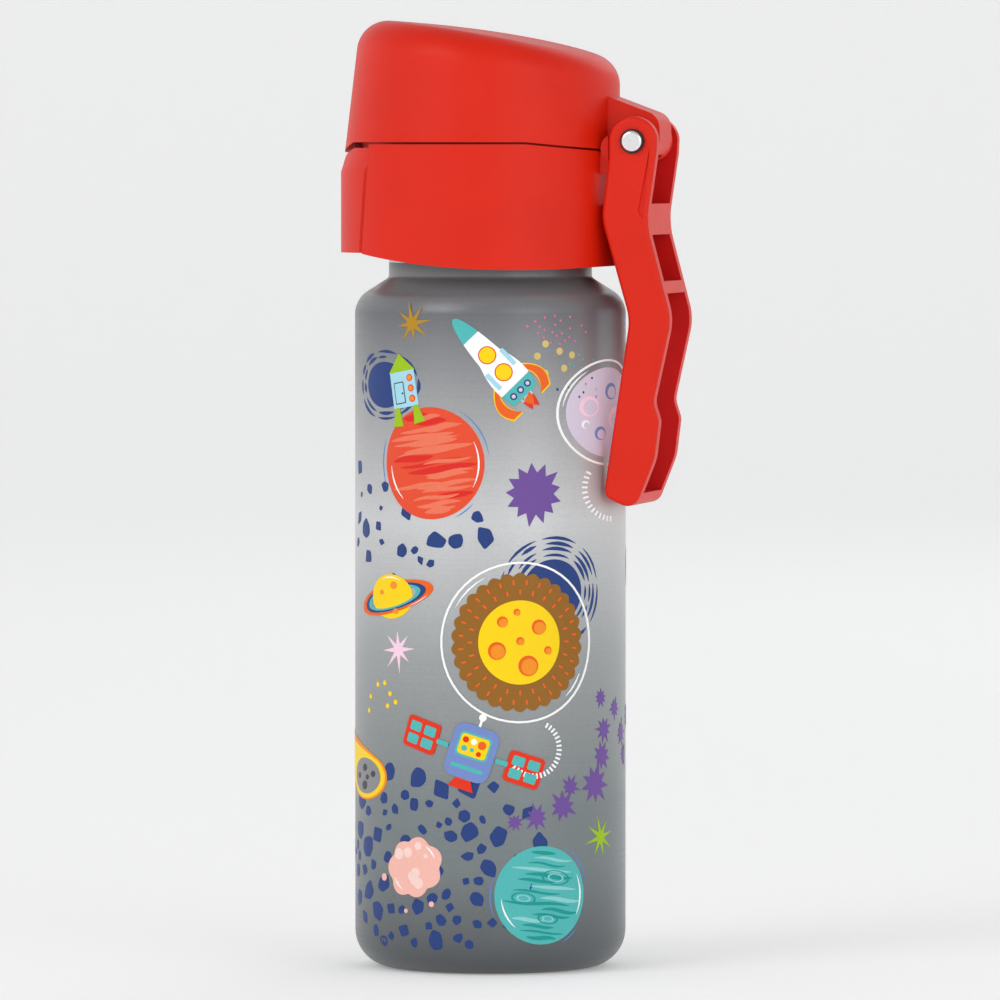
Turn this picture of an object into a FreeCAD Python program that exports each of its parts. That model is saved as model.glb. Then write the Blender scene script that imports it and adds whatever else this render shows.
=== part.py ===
import FreeCAD, Part
import math
import os
import re
import Sketcher

# A child's stainless-steel drinking bottle: a shell with a screw neck, and a moulded lid with a flip cover,
# a push button, a soft spout and a hinged carry handle.
# The bottle stands on z = 0 around the Z axis.  The button faces -X, the hinge and the handle are at +X.
# Lid pieces are drawn from the top of the neck, and the carry handle from the hinge axis.

V = FreeCAD.Vector
doc = FreeCAD.newDocument("KidsBottle")

SIZES = [
    ("body_radius", 32.5, "outside of the straight body"),
    ("body_height", 157.0, "floor to the start of the shoulder"),
    ("steel_wall", 0.6, "sheet thickness"),
    ("base_corner", 9.0, "radius between the side and the foot"),
    ("foot_width", 4.5, "flat ring that the bottle stands on"),
    ("base_recess", 2.5, "height of the welded base above the floor"),
    ("shoulder_arc", 6.0, "radius between the side and the shoulder"),
    ("shoulder_slope", 32.7, "degrees below horizontal"),
    ("neck_radius", 24.35, "outside of the neck"),
    ("neck_rise", 16.5, "shoulder to the top of the rim"),
    ("rim_width", 1.85, "rolled rim"),
    ("thread_pitch", 4.0, "one turn of the screw"),
    ("thread_depth", 0.95, "neck thread ridge"),
    ("thread_turns", 1.75, "turns of the neck's thread"),
    ("lid_turns", 1.25, "turns of the lid's thread"),
    ("thread_clear", 0.4, "between the threads and the walls that they face"),
    ("skirt_wall", 1.8, "threaded skirt of the lid insert"),
    ("skirt_drop", 10.0, "skirt below the rim"),
    ("plate_under", 2.0, "rim to the underside of the insert's plate"),
    ("plate_wall", 2.0, "plate of the insert"),
    ("gasket_gap", 0.05, "rim to gasket"),
    ("gasket_width", 3.8, "neck gasket, across its ring"),
    ("tower_shift", 6.0, "drinking tower in front of the axis"),
    ("tower_bore", 7.0, "radius of the drinking bore"),
    ("tower_wall", 2.0, "wall of the drinking tower"),
    ("tower_top", 18.0, "top of the tower above the rim"),
    ("vent_edge", 10.35, "outside of the neck to the vent"),
    ("vent_bore", 1.5, "radius of the vent hole"),
    ("collar_over", 0.96, "collar radius beyond the body radius"),
    ("collar_shift", 2.45, "collar centre in front of the axis"),
    ("collar_wall", 2.2, "wall of the collar and of the button"),
    ("collar_drop", 14.4, "lowest point of the collar below the rim"),
    ("collar_sweep", 212.0, "radius of the curved lower edge"),
    ("seam_level", 15.6, "seam between collar and cover above the rim"),
    ("seam_gap", 0.5, "gap at the seam"),
    ("deck_top", 13.5, "top of the collar's deck above the rim"),
    ("deck_wall", 2.0, "deck thickness"),
    ("lip_rise", 3.8, "sealing lip above the deck"),
    ("lip_wall", 1.4, "sealing lip"),
    ("lip_gap", 0.36, "lip to cover"),
    ("lip_open", 14.5, "half width of the lip's opening behind the button"),
    ("seam_front", 2.6, "front of the body to the start of the level seam"),
    ("seam_rear", 17.9, "end of the level seam to the back of the body"),
    ("seam_front_fall", 0.49, "fall of the seam per length in front of its level stretch"),
    ("seam_rear_fall", 0.11, "fall of the seam per length behind its level stretch"),
    ("button_top_half", 24.5, "half width of the button at its top"),
    ("button_foot_half", 22.4, "half width of the button at its foot"),
    ("button_drop", 10.5, "foot of the button below the rim"),
    ("button_gap", 0.9, "gap around the button"),
    ("button_pin_radius", 1.0, "pivot of the button"),
    ("button_pin_back", 4.2, "button's inner face to its pivot"),
    ("button_pin_drop", 7.0, "pivot below the rim"),
    ("pivot_half", 6.5, "half width of the button's pivot block"),
    ("pivot_lug", 2.4, "each lug of the insert beside that block"),
    ("push_coil", 2.15, "button spring, radius to the middle of its wire"),
    ("push_wire", 0.5, "wire of the button spring"),
    ("push_turns", 4.5, "turns of the button spring"),
    ("button_slope", 6.9, "start of the button's sloping top below the seam"),
    ("button_slope_in", 1.8, "radius lost over the button's sloping top"),
    ("latch_drop", 8.1, "underside of the button's latch frame below the seam"),
    ("latch_wall", 1.5, "latch frame, and its bar"),
    ("latch_half", 7.5, "half width of the latch frame"),
    ("latch_reach", 5.0, "depth of the latch frame behind the button"),
    ("cover_radius", 0.36, "cover radius beyond the body radius, at the seam"),
    ("cover_shift", 1.84, "cover centre in front of the axis, at the seam"),
    ("cover_taper", 0.0589, "cover radius lost per height"),
    ("cover_lean", 0.0607, "cover centre moving back per height"),
    ("cover_height", 41.87, "top of the cover above the rim, on its middle line"),
    ("cover_tilt", 9.6, "slope of the cover's top towards the hinge, degrees"),
    ("cover_crown", 300.0, "radius of the domed top"),
    ("cover_edge", 7.5, "rounding of the top edge"),
    ("cover_wall", 2.2, "wall of the cover"),
    ("tongue_half", 4.8, "half width of the cover's latch tongue"),
    ("tongue_drop", 10.0, "latch tongue below the seam"),
    ("spout_wall", 2.0, "silicone over the tower"),
    ("spout_top", 30.0, "top of the spout above the rim"),
    ("spout_mouth", 6.0, "radius of the spout's mouth"),
    ("plug_gap", 0.12, "spout to closed plug"),
    ("hinge_out", 5.14, "hinge axis beyond the body radius"),
    ("hinge_level", 16.1, "hinge axis above the rim"),
    ("pin_radius", 1.5, "hinge pin"),
    ("pin_head", 2.5, "radius of the pin's head and cap"),
    ("pin_clear", 0.05, "running clearance on a pin"),
    ("barrel_radius", 4.8, "rounded ends of lug and ears"),
    ("lug_half", 7.4, "half width of the cover's lug"),
    ("spring_slot", 3.4, "half width of the slot for the hinge spring"),
    ("hinge_wire", 0.8, "wire of the hinge spring"),
    ("hinge_turns", 6.5, "turns of the hinge spring"),
    ("hinge_gap", 0.4, "sideways gap between hinge pieces"),
    ("ear_wall", 3.3, "each ear of the collar"),
    ("arm_wall", 3.5, "each arm of the handle"),
    ("ear_drop", 7.8, "foot of each ear below the hinge axis"),
    ("ear_root", 3.2, "radius of the rounded root of each ear"),
    ("ear_root_out", 1.3, "root beyond the outer side of its ear"),
    ("hood_reach", 3.8, "hinge axis to the inside of the lug's rear wall"),
    ("eye_radius", 5.9, "rounded end of each arm"),
    ("handle_drop", 85.0, "hinge axis to the handle's lower end"),
    ("rail_wall", 4.0, "side rails of the grip"),
    ("handle_edge", 1.0, "rounding of the handle's side edges"),
    ("handle_clear", 0.9, "handle to bottle and collar"),
    ("groove_depth", 0.5, "groove in the outside of each arm"),
    ("washer_radius", 2.95, "washer under the pin's head"),
    ("washer_wall", 0.5, "washer thickness"),
]

sheet = doc.addObject("Spreadsheet::Sheet", "Sizes")
for row, (alias, number, note) in enumerate(SIZES, start=1):
    sheet.set("A%d" % row, alias)
    sheet.set("B%d" % row, str(number))
    sheet.set("C%d" % row, note)
    sheet.setAlias("B%d" % row, alias)
doc.recompute()
ALIASES = {alias for alias, number, note in SIZES}


def bound(text):
    """Write the sheet's name before each alias in an expression."""
    return re.sub(r"[a-z_]+", lambda m: "Sizes." + m.group() if m.group() in ALIASES else m.group(), text)


def value(text):
    """The present value of an expression, as a plain number."""
    result = sheet.evalExpression(bound(text))
    return float(getattr(result, "Value", result))


# Heights and distances that several pieces share.
SHOULDER_OUT = "(body_radius - shoulder_arc + shoulder_arc * sin(shoulder_slope * 1deg))"
SHOULDER_END = "(body_height + shoulder_arc * cos(shoulder_slope * 1deg))"
NECK_BASE = "(%s + (%s - neck_radius) * tan(shoulder_slope * 1deg))" % (SHOULDER_END, SHOULDER_OUT)
NECK_TOP = "(%s + neck_rise)" % NECK_BASE
SKIRT_BORE = "(neck_radius + thread_depth + thread_clear / 2)"
SKIRT_OUT = "(%s + skirt_wall)" % SKIRT_BORE
THREAD_LEVEL = "(-neck_rise * 0.6)"
PLATE_TOP = "(plate_under + plate_wall)"
TOWER_OUT = "(tower_bore + tower_wall)"
COLLAR_OUT = "(body_radius + collar_over)"
BUTTON_IN = "(%s - collar_wall)" % COLLAR_OUT
PIVOT_X = "(-collar_shift - %s + button_pin_back)" % BUTTON_IN
HINGE_X = "(body_radius + hinge_out)"
EAR_IN = "(lug_half + hinge_gap)"
EAR_OUT = "(%s + ear_wall)" % EAR_IN
ARM_IN = "(%s + hinge_gap)" % EAR_OUT
ARM_OUT = "(%s + arm_wall)" % ARM_IN
WASHER_IN = "(%s + 0.1)" % ARM_OUT
HEAD_IN = "(%s + washer_wall)" % WASHER_IN
PIVOT_IN = "(pivot_half + hinge_gap)"
PIVOT_OUT = "(%s + pivot_lug)" % PIVOT_IN
FRONT_BREAK = "(seam_front - body_radius)"
REAR_BREAK = "(body_radius - seam_rear)"
VENT_X = "(neck_radius - vent_edge)"
BUTTON_LEVEL = "(seam_level - button_slope)"

THREAD_START = 25      # degrees round from +X to where both threads begin

TURN_XZ = FreeCAD.Rotation(V(1, 0, 0), 90)      # a sketch's x, y lie along X, Z
TURN_YZ = FreeCAD.Rotation(V(1, 1, 1), 120)     # a sketch's x, y lie along Y, Z
ALONG_Y = FreeCAD.Rotation(V(1, 0, 0), -90)     # a cylinder's axis along Y
ALONG_X = FreeCAD.Rotation(V(0, 1, 0), 90)      # a cylinder's axis along X


def bind(thing, **sizes):
    """Bind properties to expressions; a double underscore stands for a dot."""
    for name, text in sizes.items():
        thing.setExpression(name.replace("__", "."), bound(text))
    return thing


def put(thing, x="0", y="0", z="0", turn=None):
    """Bind the place of an object, and turn it."""
    if turn is not None:
        thing.Placement = FreeCAD.Placement(V(), turn)
    for axis, text in (("x", x), ("y", y), ("z", z)):
        if text != "0":
            thing.setExpression("Placement.Base." + axis, bound(text))
    return thing


def add(kind, name, **sizes):
    return bind(doc.addObject(kind, name), **sizes)


def cylinder(name, radius, height, turn=None, **place):
    return put(add("Part::Cylinder", name, Radius=radius, Height=height), turn=turn, **place)


def box(name, low, high):
    """A box between two corners, each given as three expressions."""
    spans = ["(%s) - (%s)" % (b, a) for a, b in zip(low, high)]
    block = add("Part::Box", name, Length=spans[0], Width=spans[1], Height=spans[2])
    return put(block, *low)


def cross_box(name, low_x, high_x, half, low_z, high_z):
    """A box that is symmetrical about the middle plane."""
    return box(name, (low_x, "-(%s)" % half, low_z), (high_x, half, high_z))


def cross_pin(name, radius, half, **place):
    """A cylinder along Y, symmetrical about the middle plane."""
    return cylinder(name, radius, "2 * (%s)" % half, turn=ALONG_Y, y="-(%s)" % half, **place)


def cut(name, base, *tools):
    tool = tools[0] if len(tools) == 1 else fuse(name + "_tools", *tools)
    result = doc.addObject("Part::Cut", name)
    result.Base, result.Tool = base, tool
    return result


def fuse(name, *shapes):
    result = doc.addObject("Part::MultiFuse", name)
    result.Shapes = list(shapes)
    return result


def common(name, *shapes):
    result = doc.addObject("Part::MultiCommon", name)
    result.Shapes = list(shapes)
    return result


def outline(sketch, corners):
    """Draw a closed outline whose corners and arc radii are bound to expressions.

    A corner is (x, y), or (x, y, side, radius) where an arc leads to the next corner and its
    centre is on that side, "left" or "right", of the way there.
    """
    points = [V(value(corner[0]), value(corner[1]), 0) for corner in corners]
    ends = []
    for index, corner in enumerate(corners):
        here, there = points[index], points[(index + 1) % len(points)]
        if len(corner) == 2:
            sketch.addGeometry(Part.LineSegment(here, there), False)
            ends.append((1, 2))
            continue
        side, radius = corner[2], value(corner[3])
        chord = there - here
        rise = math.sqrt(max(radius ** 2 - chord.Length ** 2 / 4, 0))
        left = V(-chord.y, chord.x, 0) / chord.Length
        centre = (here + there) / 2 + left * (rise if side == "left" else -rise)
        first, last = (here, there) if side == "left" else (there, here)
        angles = [math.atan2(p.y - centre.y, p.x - centre.x) for p in (first, last)]
        circle = Part.Circle(centre, V(0, 0, 1), radius)
        sketch.addGeometry(Part.ArcOfCircle(circle, angles[0], angles[1]), False)
        ends.append((1, 2) if side == "left" else (2, 1))
    for index in range(len(corners)):
        after = (index + 1) % len(corners)
        sketch.addConstraint(Sketcher.Constraint("Coincident", index, ends[index][1], after, ends[after][0]))
    for index, corner in enumerate(corners):
        for kind, text, axis in (("DistanceX", corner[0], -2), ("DistanceY", corner[1], -1)):
            if text == "0":
                sketch.addConstraint(Sketcher.Constraint("PointOnObject", index, ends[index][0], axis))
                continue
            limit = Sketcher.Constraint(kind, -1, 1, index, ends[index][0], value(text))
            number = sketch.addConstraint(limit)
            sketch.setExpression("Constraints[%d]" % number, bound(text))
        if len(corner) == 4:
            number = sketch.addConstraint(Sketcher.Constraint("Radius", index, value(corner[3])))
            sketch.setExpression("Constraints[%d]" % number, bound(corner[3]))


def free_sketch(name, turn, corners):
    sketch = doc.addObject("Sketcher::SketchObject", name)
    sketch.Placement = FreeCAD.Placement(V(), turn)
    outline(sketch, corners)
    return sketch


def prism(name, corners, width, turn=TURN_XZ, direction=V(0, 1, 0)):
    """A free outline extruded equally to both sides."""
    solid = add("Part::Extrusion", name, LengthFwd=width)
    solid.Base = free_sketch(name + "_outline", turn, corners)
    solid.DirMode = "Custom"
    solid.Dir = direction
    solid.Solid = True
    solid.Symmetric = True
    return solid


def round_bends(name, solid, bends):
    """Round the edges of a prism that run along Y, each given as (x, z, radius)."""
    doc.recompute()
    edges = []
    for x, z, radius in bends:
        place = V(value(x), 0, value(z))
        for number, edge in enumerate(solid.Shape.Edges, start=1):
            ends = [V(vertex.X, 0, vertex.Z) for vertex in edge.Vertexes]
            if len(ends) == 2 and all(end.distanceToPoint(place) < 0.01 for end in ends):
                edges.append((number, value(radius), value(radius)))
    rounded = doc.addObject("Part::Fillet", name)
    rounded.Base = solid
    rounded.Edges = edges
    return rounded


def round_sides(name, solid, half, radius):
    """Round the edges in the two side faces of a prism."""
    doc.recompute()
    edges = []
    for number, edge in enumerate(solid.Shape.Edges, start=1):
        in_side = all(abs(abs(vertex.Y) - value(half)) < 0.01 for vertex in edge.Vertexes)
        if in_side and edge.BoundBox.YLength < 0.1:
            edges.append((number, value(radius), value(radius)))
    rounded = doc.addObject("Part::Fillet", name)
    rounded.Base = solid
    rounded.Edges = edges
    return rounded


def body_sketch(body, name, role, corners):
    sketch = body.newObject("Sketcher::SketchObject", name)
    plane = [feature for feature in body.Origin.OriginFeatures if feature.Role == role][0]
    sketch.AttachmentSupport = [(plane, "")]
    sketch.MapMode = "FlatFace"
    outline(sketch, corners)
    return sketch


def turned(name, corners):
    """A body turned about its own Z axis from a profile of radius and height."""
    body = doc.addObject("PartDesign::Body", name)
    sketch = body_sketch(body, name + "_profile", "XZ_Plane", corners)
    solid = body.newObject("PartDesign::Revolution", name + "_turned")
    solid.Profile = (sketch, [""])
    solid.ReferenceAxis = (sketch, ["V_Axis"])
    solid.Angle = 360
    return body


def thread(name, root, crest, start, turns):
    """A screw ridge from its root radius to its crest radius, wound about Z."""
    helix = add("Part::Helix", name + "_helix", Pitch="thread_pitch", Height="(%s) * thread_pitch" % turns)
    bind(helix, Radius=root)
    put(helix, z=start)
    wide, narrow = "thread_pitch * 0.21", "thread_pitch * 0.1"
    profile = free_sketch(name + "_ridge", TURN_XZ, [
        (root, "%s - %s" % (start, wide)),
        (crest, "%s - %s" % (start, narrow)),
        (crest, "%s + %s" % (start, narrow)),
        (root, "%s + %s" % (start, wide)),
    ])
    ridge = doc.addObject("Part::Sweep", name)
    ridge.Sections = [profile]
    ridge.Spine = (helix, ["Edge1"])
    ridge.Solid = True
    ridge.Frenet = True
    ridge.Placement = FreeCAD.Placement(V(), FreeCAD.Rotation(V(0, 0, 1), THREAD_START))
    return ridge


SUBPARTS = []


def keep(thing, name, lift=None, **place):
    """Name a finished sub-part, and lift it to the level that it is drawn from."""
    thing.Label = name
    if lift is not None or place:
        put(thing, z=lift or "0", **place)
    SUBPARTS.append(thing)
    return thing


def make_bottle():
    foot_out = "(body_radius - base_corner)"
    foot_in = "(%s - foot_width)" % foot_out
    inner_neck = "(neck_radius - steel_wall)"
    slope = "(shoulder_slope * 1deg)"
    bead = "rim_width * 0.54"
    bead_level = "(%s - %s + sqrt((%s)^2 - rim_width^2 / 4))" % (NECK_TOP, bead, bead)
    shell = turned("shell", [
        (foot_in, "0"),
        (foot_out, "0", "left", "base_corner"),
        ("body_radius", "base_corner"),
        ("body_radius", "body_height", "left", "shoulder_arc"),
        (SHOULDER_OUT, SHOULDER_END),
        ("neck_radius", NECK_BASE),
        ("neck_radius", bead_level, "left", bead),
        ("neck_radius - rim_width", bead_level),
        ("neck_radius - rim_width", "%s - rim_width" % bead_level),
        (inner_neck, "%s - 2 * rim_width" % bead_level),
        (inner_neck, "%s - steel_wall * tan(%s / 2)" % (NECK_BASE, "(90 - shoulder_slope) * 1deg")),
        ("%s - steel_wall * sin%s" % (SHOULDER_OUT, slope), "%s - steel_wall * cos%s" % (SHOULDER_END, slope),
         "right", "shoulder_arc - steel_wall"),
        ("body_radius - steel_wall", "body_height"),
        ("body_radius - steel_wall", "base_corner", "right", "base_corner - steel_wall"),
        (foot_out, "steel_wall"),
        ("%s + steel_wall" % foot_in, "steel_wall"),
        ("%s + steel_wall" % foot_in, "base_recess + steel_wall"),
        (foot_in, "base_recess + steel_wall"),
    ])
    start = "(%s + %s)" % (NECK_TOP, THREAD_LEVEL)
    ridge = thread("neck_thread", "neck_radius - steel_wall / 3", "neck_radius + thread_depth", start,
                   "thread_turns")
    keep(fuse("shell_with_thread", shell, ridge), "bottle_shell")
    base = turned("base", [
        ("0", "base_recess"),
        (foot_in, "base_recess"),
        (foot_in, "base_recess + steel_wall"),
        ("0", "base_recess + steel_wall"),
    ])
    keep(base, "bottle_base")
    gasket_out = "(%s - 0.2)" % SKIRT_BORE
    gasket_in = "(%s - gasket_width)" % gasket_out
    gasket = turned("gasket", [
        (gasket_in, "gasket_gap"),
        (gasket_out, "gasket_gap"),
        (gasket_out, "plate_under"),
        (gasket_in, "plate_under"),
    ])
    keep(gasket, "neck_gasket", NECK_TOP)


def make_insert():
    under_deck = "(deck_top - deck_wall)"
    cup = turned("insert_cup", [
        ("0", "plate_under"),
        (SKIRT_BORE, "plate_under"),
        (SKIRT_BORE, "-skirt_drop"),
        (SKIRT_OUT, "-skirt_drop"),
        (SKIRT_OUT, under_deck),
        (SKIRT_BORE, under_deck),
        (SKIRT_BORE, PLATE_TOP),
        ("0", PLATE_TOP),
    ])
    tower = cylinder("insert_tower", TOWER_OUT, "tower_top - plate_under", x="-tower_shift", z="plate_under")
    lug_low = "(-button_pin_drop - 2 * button_pin_radius)"
    lug_high = "(2 * button_pin_radius - button_pin_drop)"
    lug = cross_box("insert_lug", PIVOT_X, "-%s + skirt_wall + 0.4" % SKIRT_OUT, PIVOT_OUT, lug_low, lug_high)
    nose = cross_pin("insert_lug_nose", "2 * button_pin_radius", PIVOT_OUT, x=PIVOT_X, z="-button_pin_drop")
    middle = cross_box("insert_lug_gap", "%s - 5" % PIVOT_X, "-%s" % SKIRT_OUT, PIVOT_IN, "%s - 1" % lug_low,
                       "%s + 1" % lug_high)
    lugs = cut("insert_lugs", fuse("insert_lug_pair", lug, nose), middle)
    clear = cylinder("insert_lug_trim", SKIRT_BORE, "skirt_drop + plate_under", z="-skirt_drop")
    whole = fuse("insert_fused", cup, tower, cut("insert_lugs_trimmed", lugs, clear))
    drink = cylinder("insert_bore", "tower_bore", "tower_top", x="-tower_shift", z="plate_under / 2")
    vent = cylinder("insert_vent", "vent_bore", "2 * plate_wall", x=VENT_X, z="plate_under / 2")
    pivot = cross_pin("insert_pivot", "button_pin_radius", "%s + 1" % PIVOT_OUT, x=PIVOT_X,
                      z="-button_pin_drop")
    bored = cut("insert_bored", whole, drink, vent, pivot)
    start = "(%s + thread_pitch / 2)" % THREAD_LEVEL
    ridge = thread("insert_thread", "%s + skirt_wall / 4" % SKIRT_BORE, "neck_radius + thread_clear", start,
                   "lid_turns")
    keep(fuse("insert_with_thread", bored, ridge), "lid_insert", NECK_TOP)


def seam_shape(name, lift, high):
    """Everything above the seam, or below it, as a wide block: lift moves the seam up."""
    level = "seam_level + (%s)" % lift
    far = "(body_radius + 20)"
    outer = "70" if high else "-40"
    corners = [
        ("-%s" % far, "%s - seam_front_fall * (%s + %s)" % (level, far, FRONT_BREAK)),
        (FRONT_BREAK, level),
        (REAR_BREAK, level),
        (far, "%s - seam_rear_fall * (%s - %s)" % (level, far, REAR_BREAK)),
        (far, outer),
        ("-%s" % far, outer),
    ]
    return prism(name, corners, "4 * body_radius")


def button_wedge(name, grow):
    """The tapered block whose sides bound the button."""
    top, foot = "(button_top_half + (%s))" % grow, "(button_foot_half + (%s))" % grow
    wedge = prism(name, [
        ("-%s" % foot, "-button_drop - (%s)" % grow),
        (foot, "-button_drop - (%s)" % grow),
        (top, "deck_top"),
        (top, "deck_top + 8"),
        ("-%s" % top, "deck_top + 8"),
        ("-%s" % top, "deck_top"),
    ], "2 * body_radius", TURN_YZ, V(1, 0, 0))
    return put(wedge, x="-body_radius - 4")


def make_collar():
    centre = "-collar_shift"
    low = "(-collar_drop - 4)"
    outer = cylinder("collar_outer", COLLAR_OUT, "seam_level - %s + 2" % low, x=centre, z=low)
    inner = cylinder("collar_inner", BUTTON_IN, "seam_level - %s + 4" % low, x=centre, z="%s - 1" % low)
    sweep = cross_pin("collar_lower_edge", "collar_sweep", "2 * body_radius", x="13",
                      z="collar_sweep - collar_drop")
    wall = common("collar_wall_trimmed", cut("collar_wall_ring", outer, inner), sweep,
                  seam_shape("collar_below_seam", "-seam_gap / 2", False))
    deck = cylinder("collar_deck", "%s + 0.2" % BUTTON_IN, "deck_wall", x=centre, z="deck_top - deck_wall")
    lip_out = "(body_radius + cover_radius - cover_wall - lip_gap)"
    lip_outer = cylinder("lip_outer", lip_out, "lip_rise + deck_wall / 2", x="-cover_shift",
                         z="deck_top - deck_wall / 2")
    lip_inner = cylinder("lip_inner", "%s - lip_wall" % lip_out, "lip_rise + deck_wall * 2", x="-cover_shift",
                         z="deck_top - deck_wall")
    lip_front = cross_box("lip_front", "-2 * body_radius", "-collar_shift - 5", "lip_open", "deck_top",
                          "deck_top + 2 * lip_rise")
    lip = cut("collar_lip", lip_outer, lip_inner, lip_front)
    window_out = cylinder("window_out", "%s + 6" % COLLAR_OUT, "80", x=centre, z="-30")
    window_in = cylinder("window_in", "%s - 1.9" % BUTTON_IN, "90", x=centre, z="-35")
    window = common("collar_window", cut("window_ring", window_out, window_in),
                    button_wedge("window_sides", "button_gap"))
    skirt_of_window = common("collar_window_low", cut("window_low_ring", window_out, window_in),
                             cross_box("window_low", "-2 * body_radius", "-collar_shift - 5",
                                       "button_foot_half + button_gap", "-40", "-button_drop"))
    notch = cross_box("tongue_notch", "-2 * body_radius", "-collar_shift - %s + 4.1" % BUTTON_IN, "6",
                      "deck_top - 3 * deck_wall", "deck_top + 1")
    tower_hole = cylinder("collar_tower_hole", "%s + 0.1" % TOWER_OUT, "40", x="-tower_shift", z="-5")
    vent_hole = cylinder("collar_vent_hole", "vent_bore * 0.8", "40", x=VENT_X, z="-5")
    ears = cut("collar_ears", make_ears(), inner_space())
    body = fuse("collar_fused", wall, deck, lip)
    opened = cut("collar_opened", body, window, skirt_of_window, notch, tower_hole, vent_hole)
    pin_hole = cross_pin("collar_pin_hole", "pin_radius", "2 * %s" % EAR_OUT, x=HINGE_X, z="hinge_level")
    keep(cut("collar_done", fuse("collar_with_ears", opened, ears), pin_hole), "lid_collar", NECK_TOP)


def inner_space():
    """The room inside the collar's wall, which its ears don't enter."""
    return cylinder("collar_room", "%s + 0.3" % BUTTON_IN, "80", x="-collar_shift", z="-40")


def make_ears():
    """The two rear ears that hold the hinge pin, with a rounded root on each outer side."""
    root_x = "(%s - collar_shift - 1.5)" % COLLAR_OUT
    under_cover = "(seam_level - 2.2)"
    blade = prism("ear_blade", [
        ("%s - 1" % root_x, under_cover),
        ("%s - 1" % root_x, "hinge_level - ear_drop"),
        ("%s + 0.6" % root_x, "hinge_level - ear_drop"),
        ("%s + barrel_radius * 0.5" % HINGE_X, "hinge_level - barrel_radius * 0.866"),
        (HINGE_X, "hinge_level"),
        ("%s - barrel_radius * 0.7" % HINGE_X, "hinge_level + barrel_radius * 0.7"),
        ("%s + 2" % root_x, under_cover),
    ], "2 * %s" % EAR_OUT)
    barrel = cross_pin("ear_barrel", "barrel_radius", EAR_OUT, x=HINGE_X, z="hinge_level")
    knuckle = cross_pin("ear_root", "ear_root", "%s + ear_root_out" % EAR_OUT, x="body_radius + 0.1",
                        z="hinge_level - ear_root / 2")
    knuckle_gap = cross_box("ear_root_gap", "0", "%s + 20" % HINGE_X, "%s - 0.25" % EAR_OUT, "0", "40")
    knuckle_back = cross_box("ear_root_back", "%s - eye_radius - 0.5" % HINGE_X, "%s + 20" % HINGE_X,
                             "2 * %s" % EAR_OUT, "0", "40")
    knuckle_cover = cylinder("ear_root_cover", "body_radius + cover_radius + 0.35", "40", x="-cover_shift",
                             z="seam_level - 2")
    roots = cut("ear_roots", knuckle, knuckle_gap, knuckle_back, knuckle_cover)
    middle = cross_box("ear_middle", "%s - collar_shift + 0.25" % COLLAR_OUT, "%s + 20" % HINGE_X, EAR_IN,
                       "-20", "60")
    return fuse("ear_pair", cut("ears_open", fuse("ears_solid", blade, barrel), middle), roots)


def make_spout():
    bore = TOWER_OUT
    outer = "(%s + spout_wall)" % TOWER_OUT
    spout = turned("spout", [
        (bore, "deck_top"),
        ("%s + 1.5" % outer, "deck_top"),
        ("%s + 1.5" % outer, "deck_top + 1.2"),
        ("%s + 0.2" % outer, "deck_top + 2.4"),
        ("%s - 0.4" % outer, "deck_top + 9"),
        ("spout_mouth + 3.6", "spout_top - 2", "left", "2"),
        ("spout_mouth + 1.6", "spout_top"),
        ("spout_mouth + 0.6", "spout_top", "left", "0.6"),
        ("spout_mouth", "spout_top - 0.6"),
        ("spout_mouth", "tower_top + 2"),
        (bore, "tower_top + 0.1"),
    ])
    keep(spout, "drinking_spout", NECK_TOP, x="-tower_shift")
    valve = turned("valve", [
        ("0", "plate_under - 1.4"),
        ("vent_bore + 1", "plate_under - 1.1"),
        ("vent_bore + 2.5", "plate_under - 0.4"),
        ("vent_bore + 2.5", "plate_under - 0.05"),
        ("vent_bore - 0.05", "plate_under - 0.05"),
        ("vent_bore - 0.05", "%s + 0.05" % PLATE_TOP),
        ("vent_bore + 0.6", "%s + 0.05" % PLATE_TOP),
        ("vent_bore * 0.6", "%s + 1.8" % PLATE_TOP),
        ("0", "%s + 1.8" % PLATE_TOP),
    ])
    keep(valve, "vent_valve", NECK_TOP, x=VENT_X)


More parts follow.
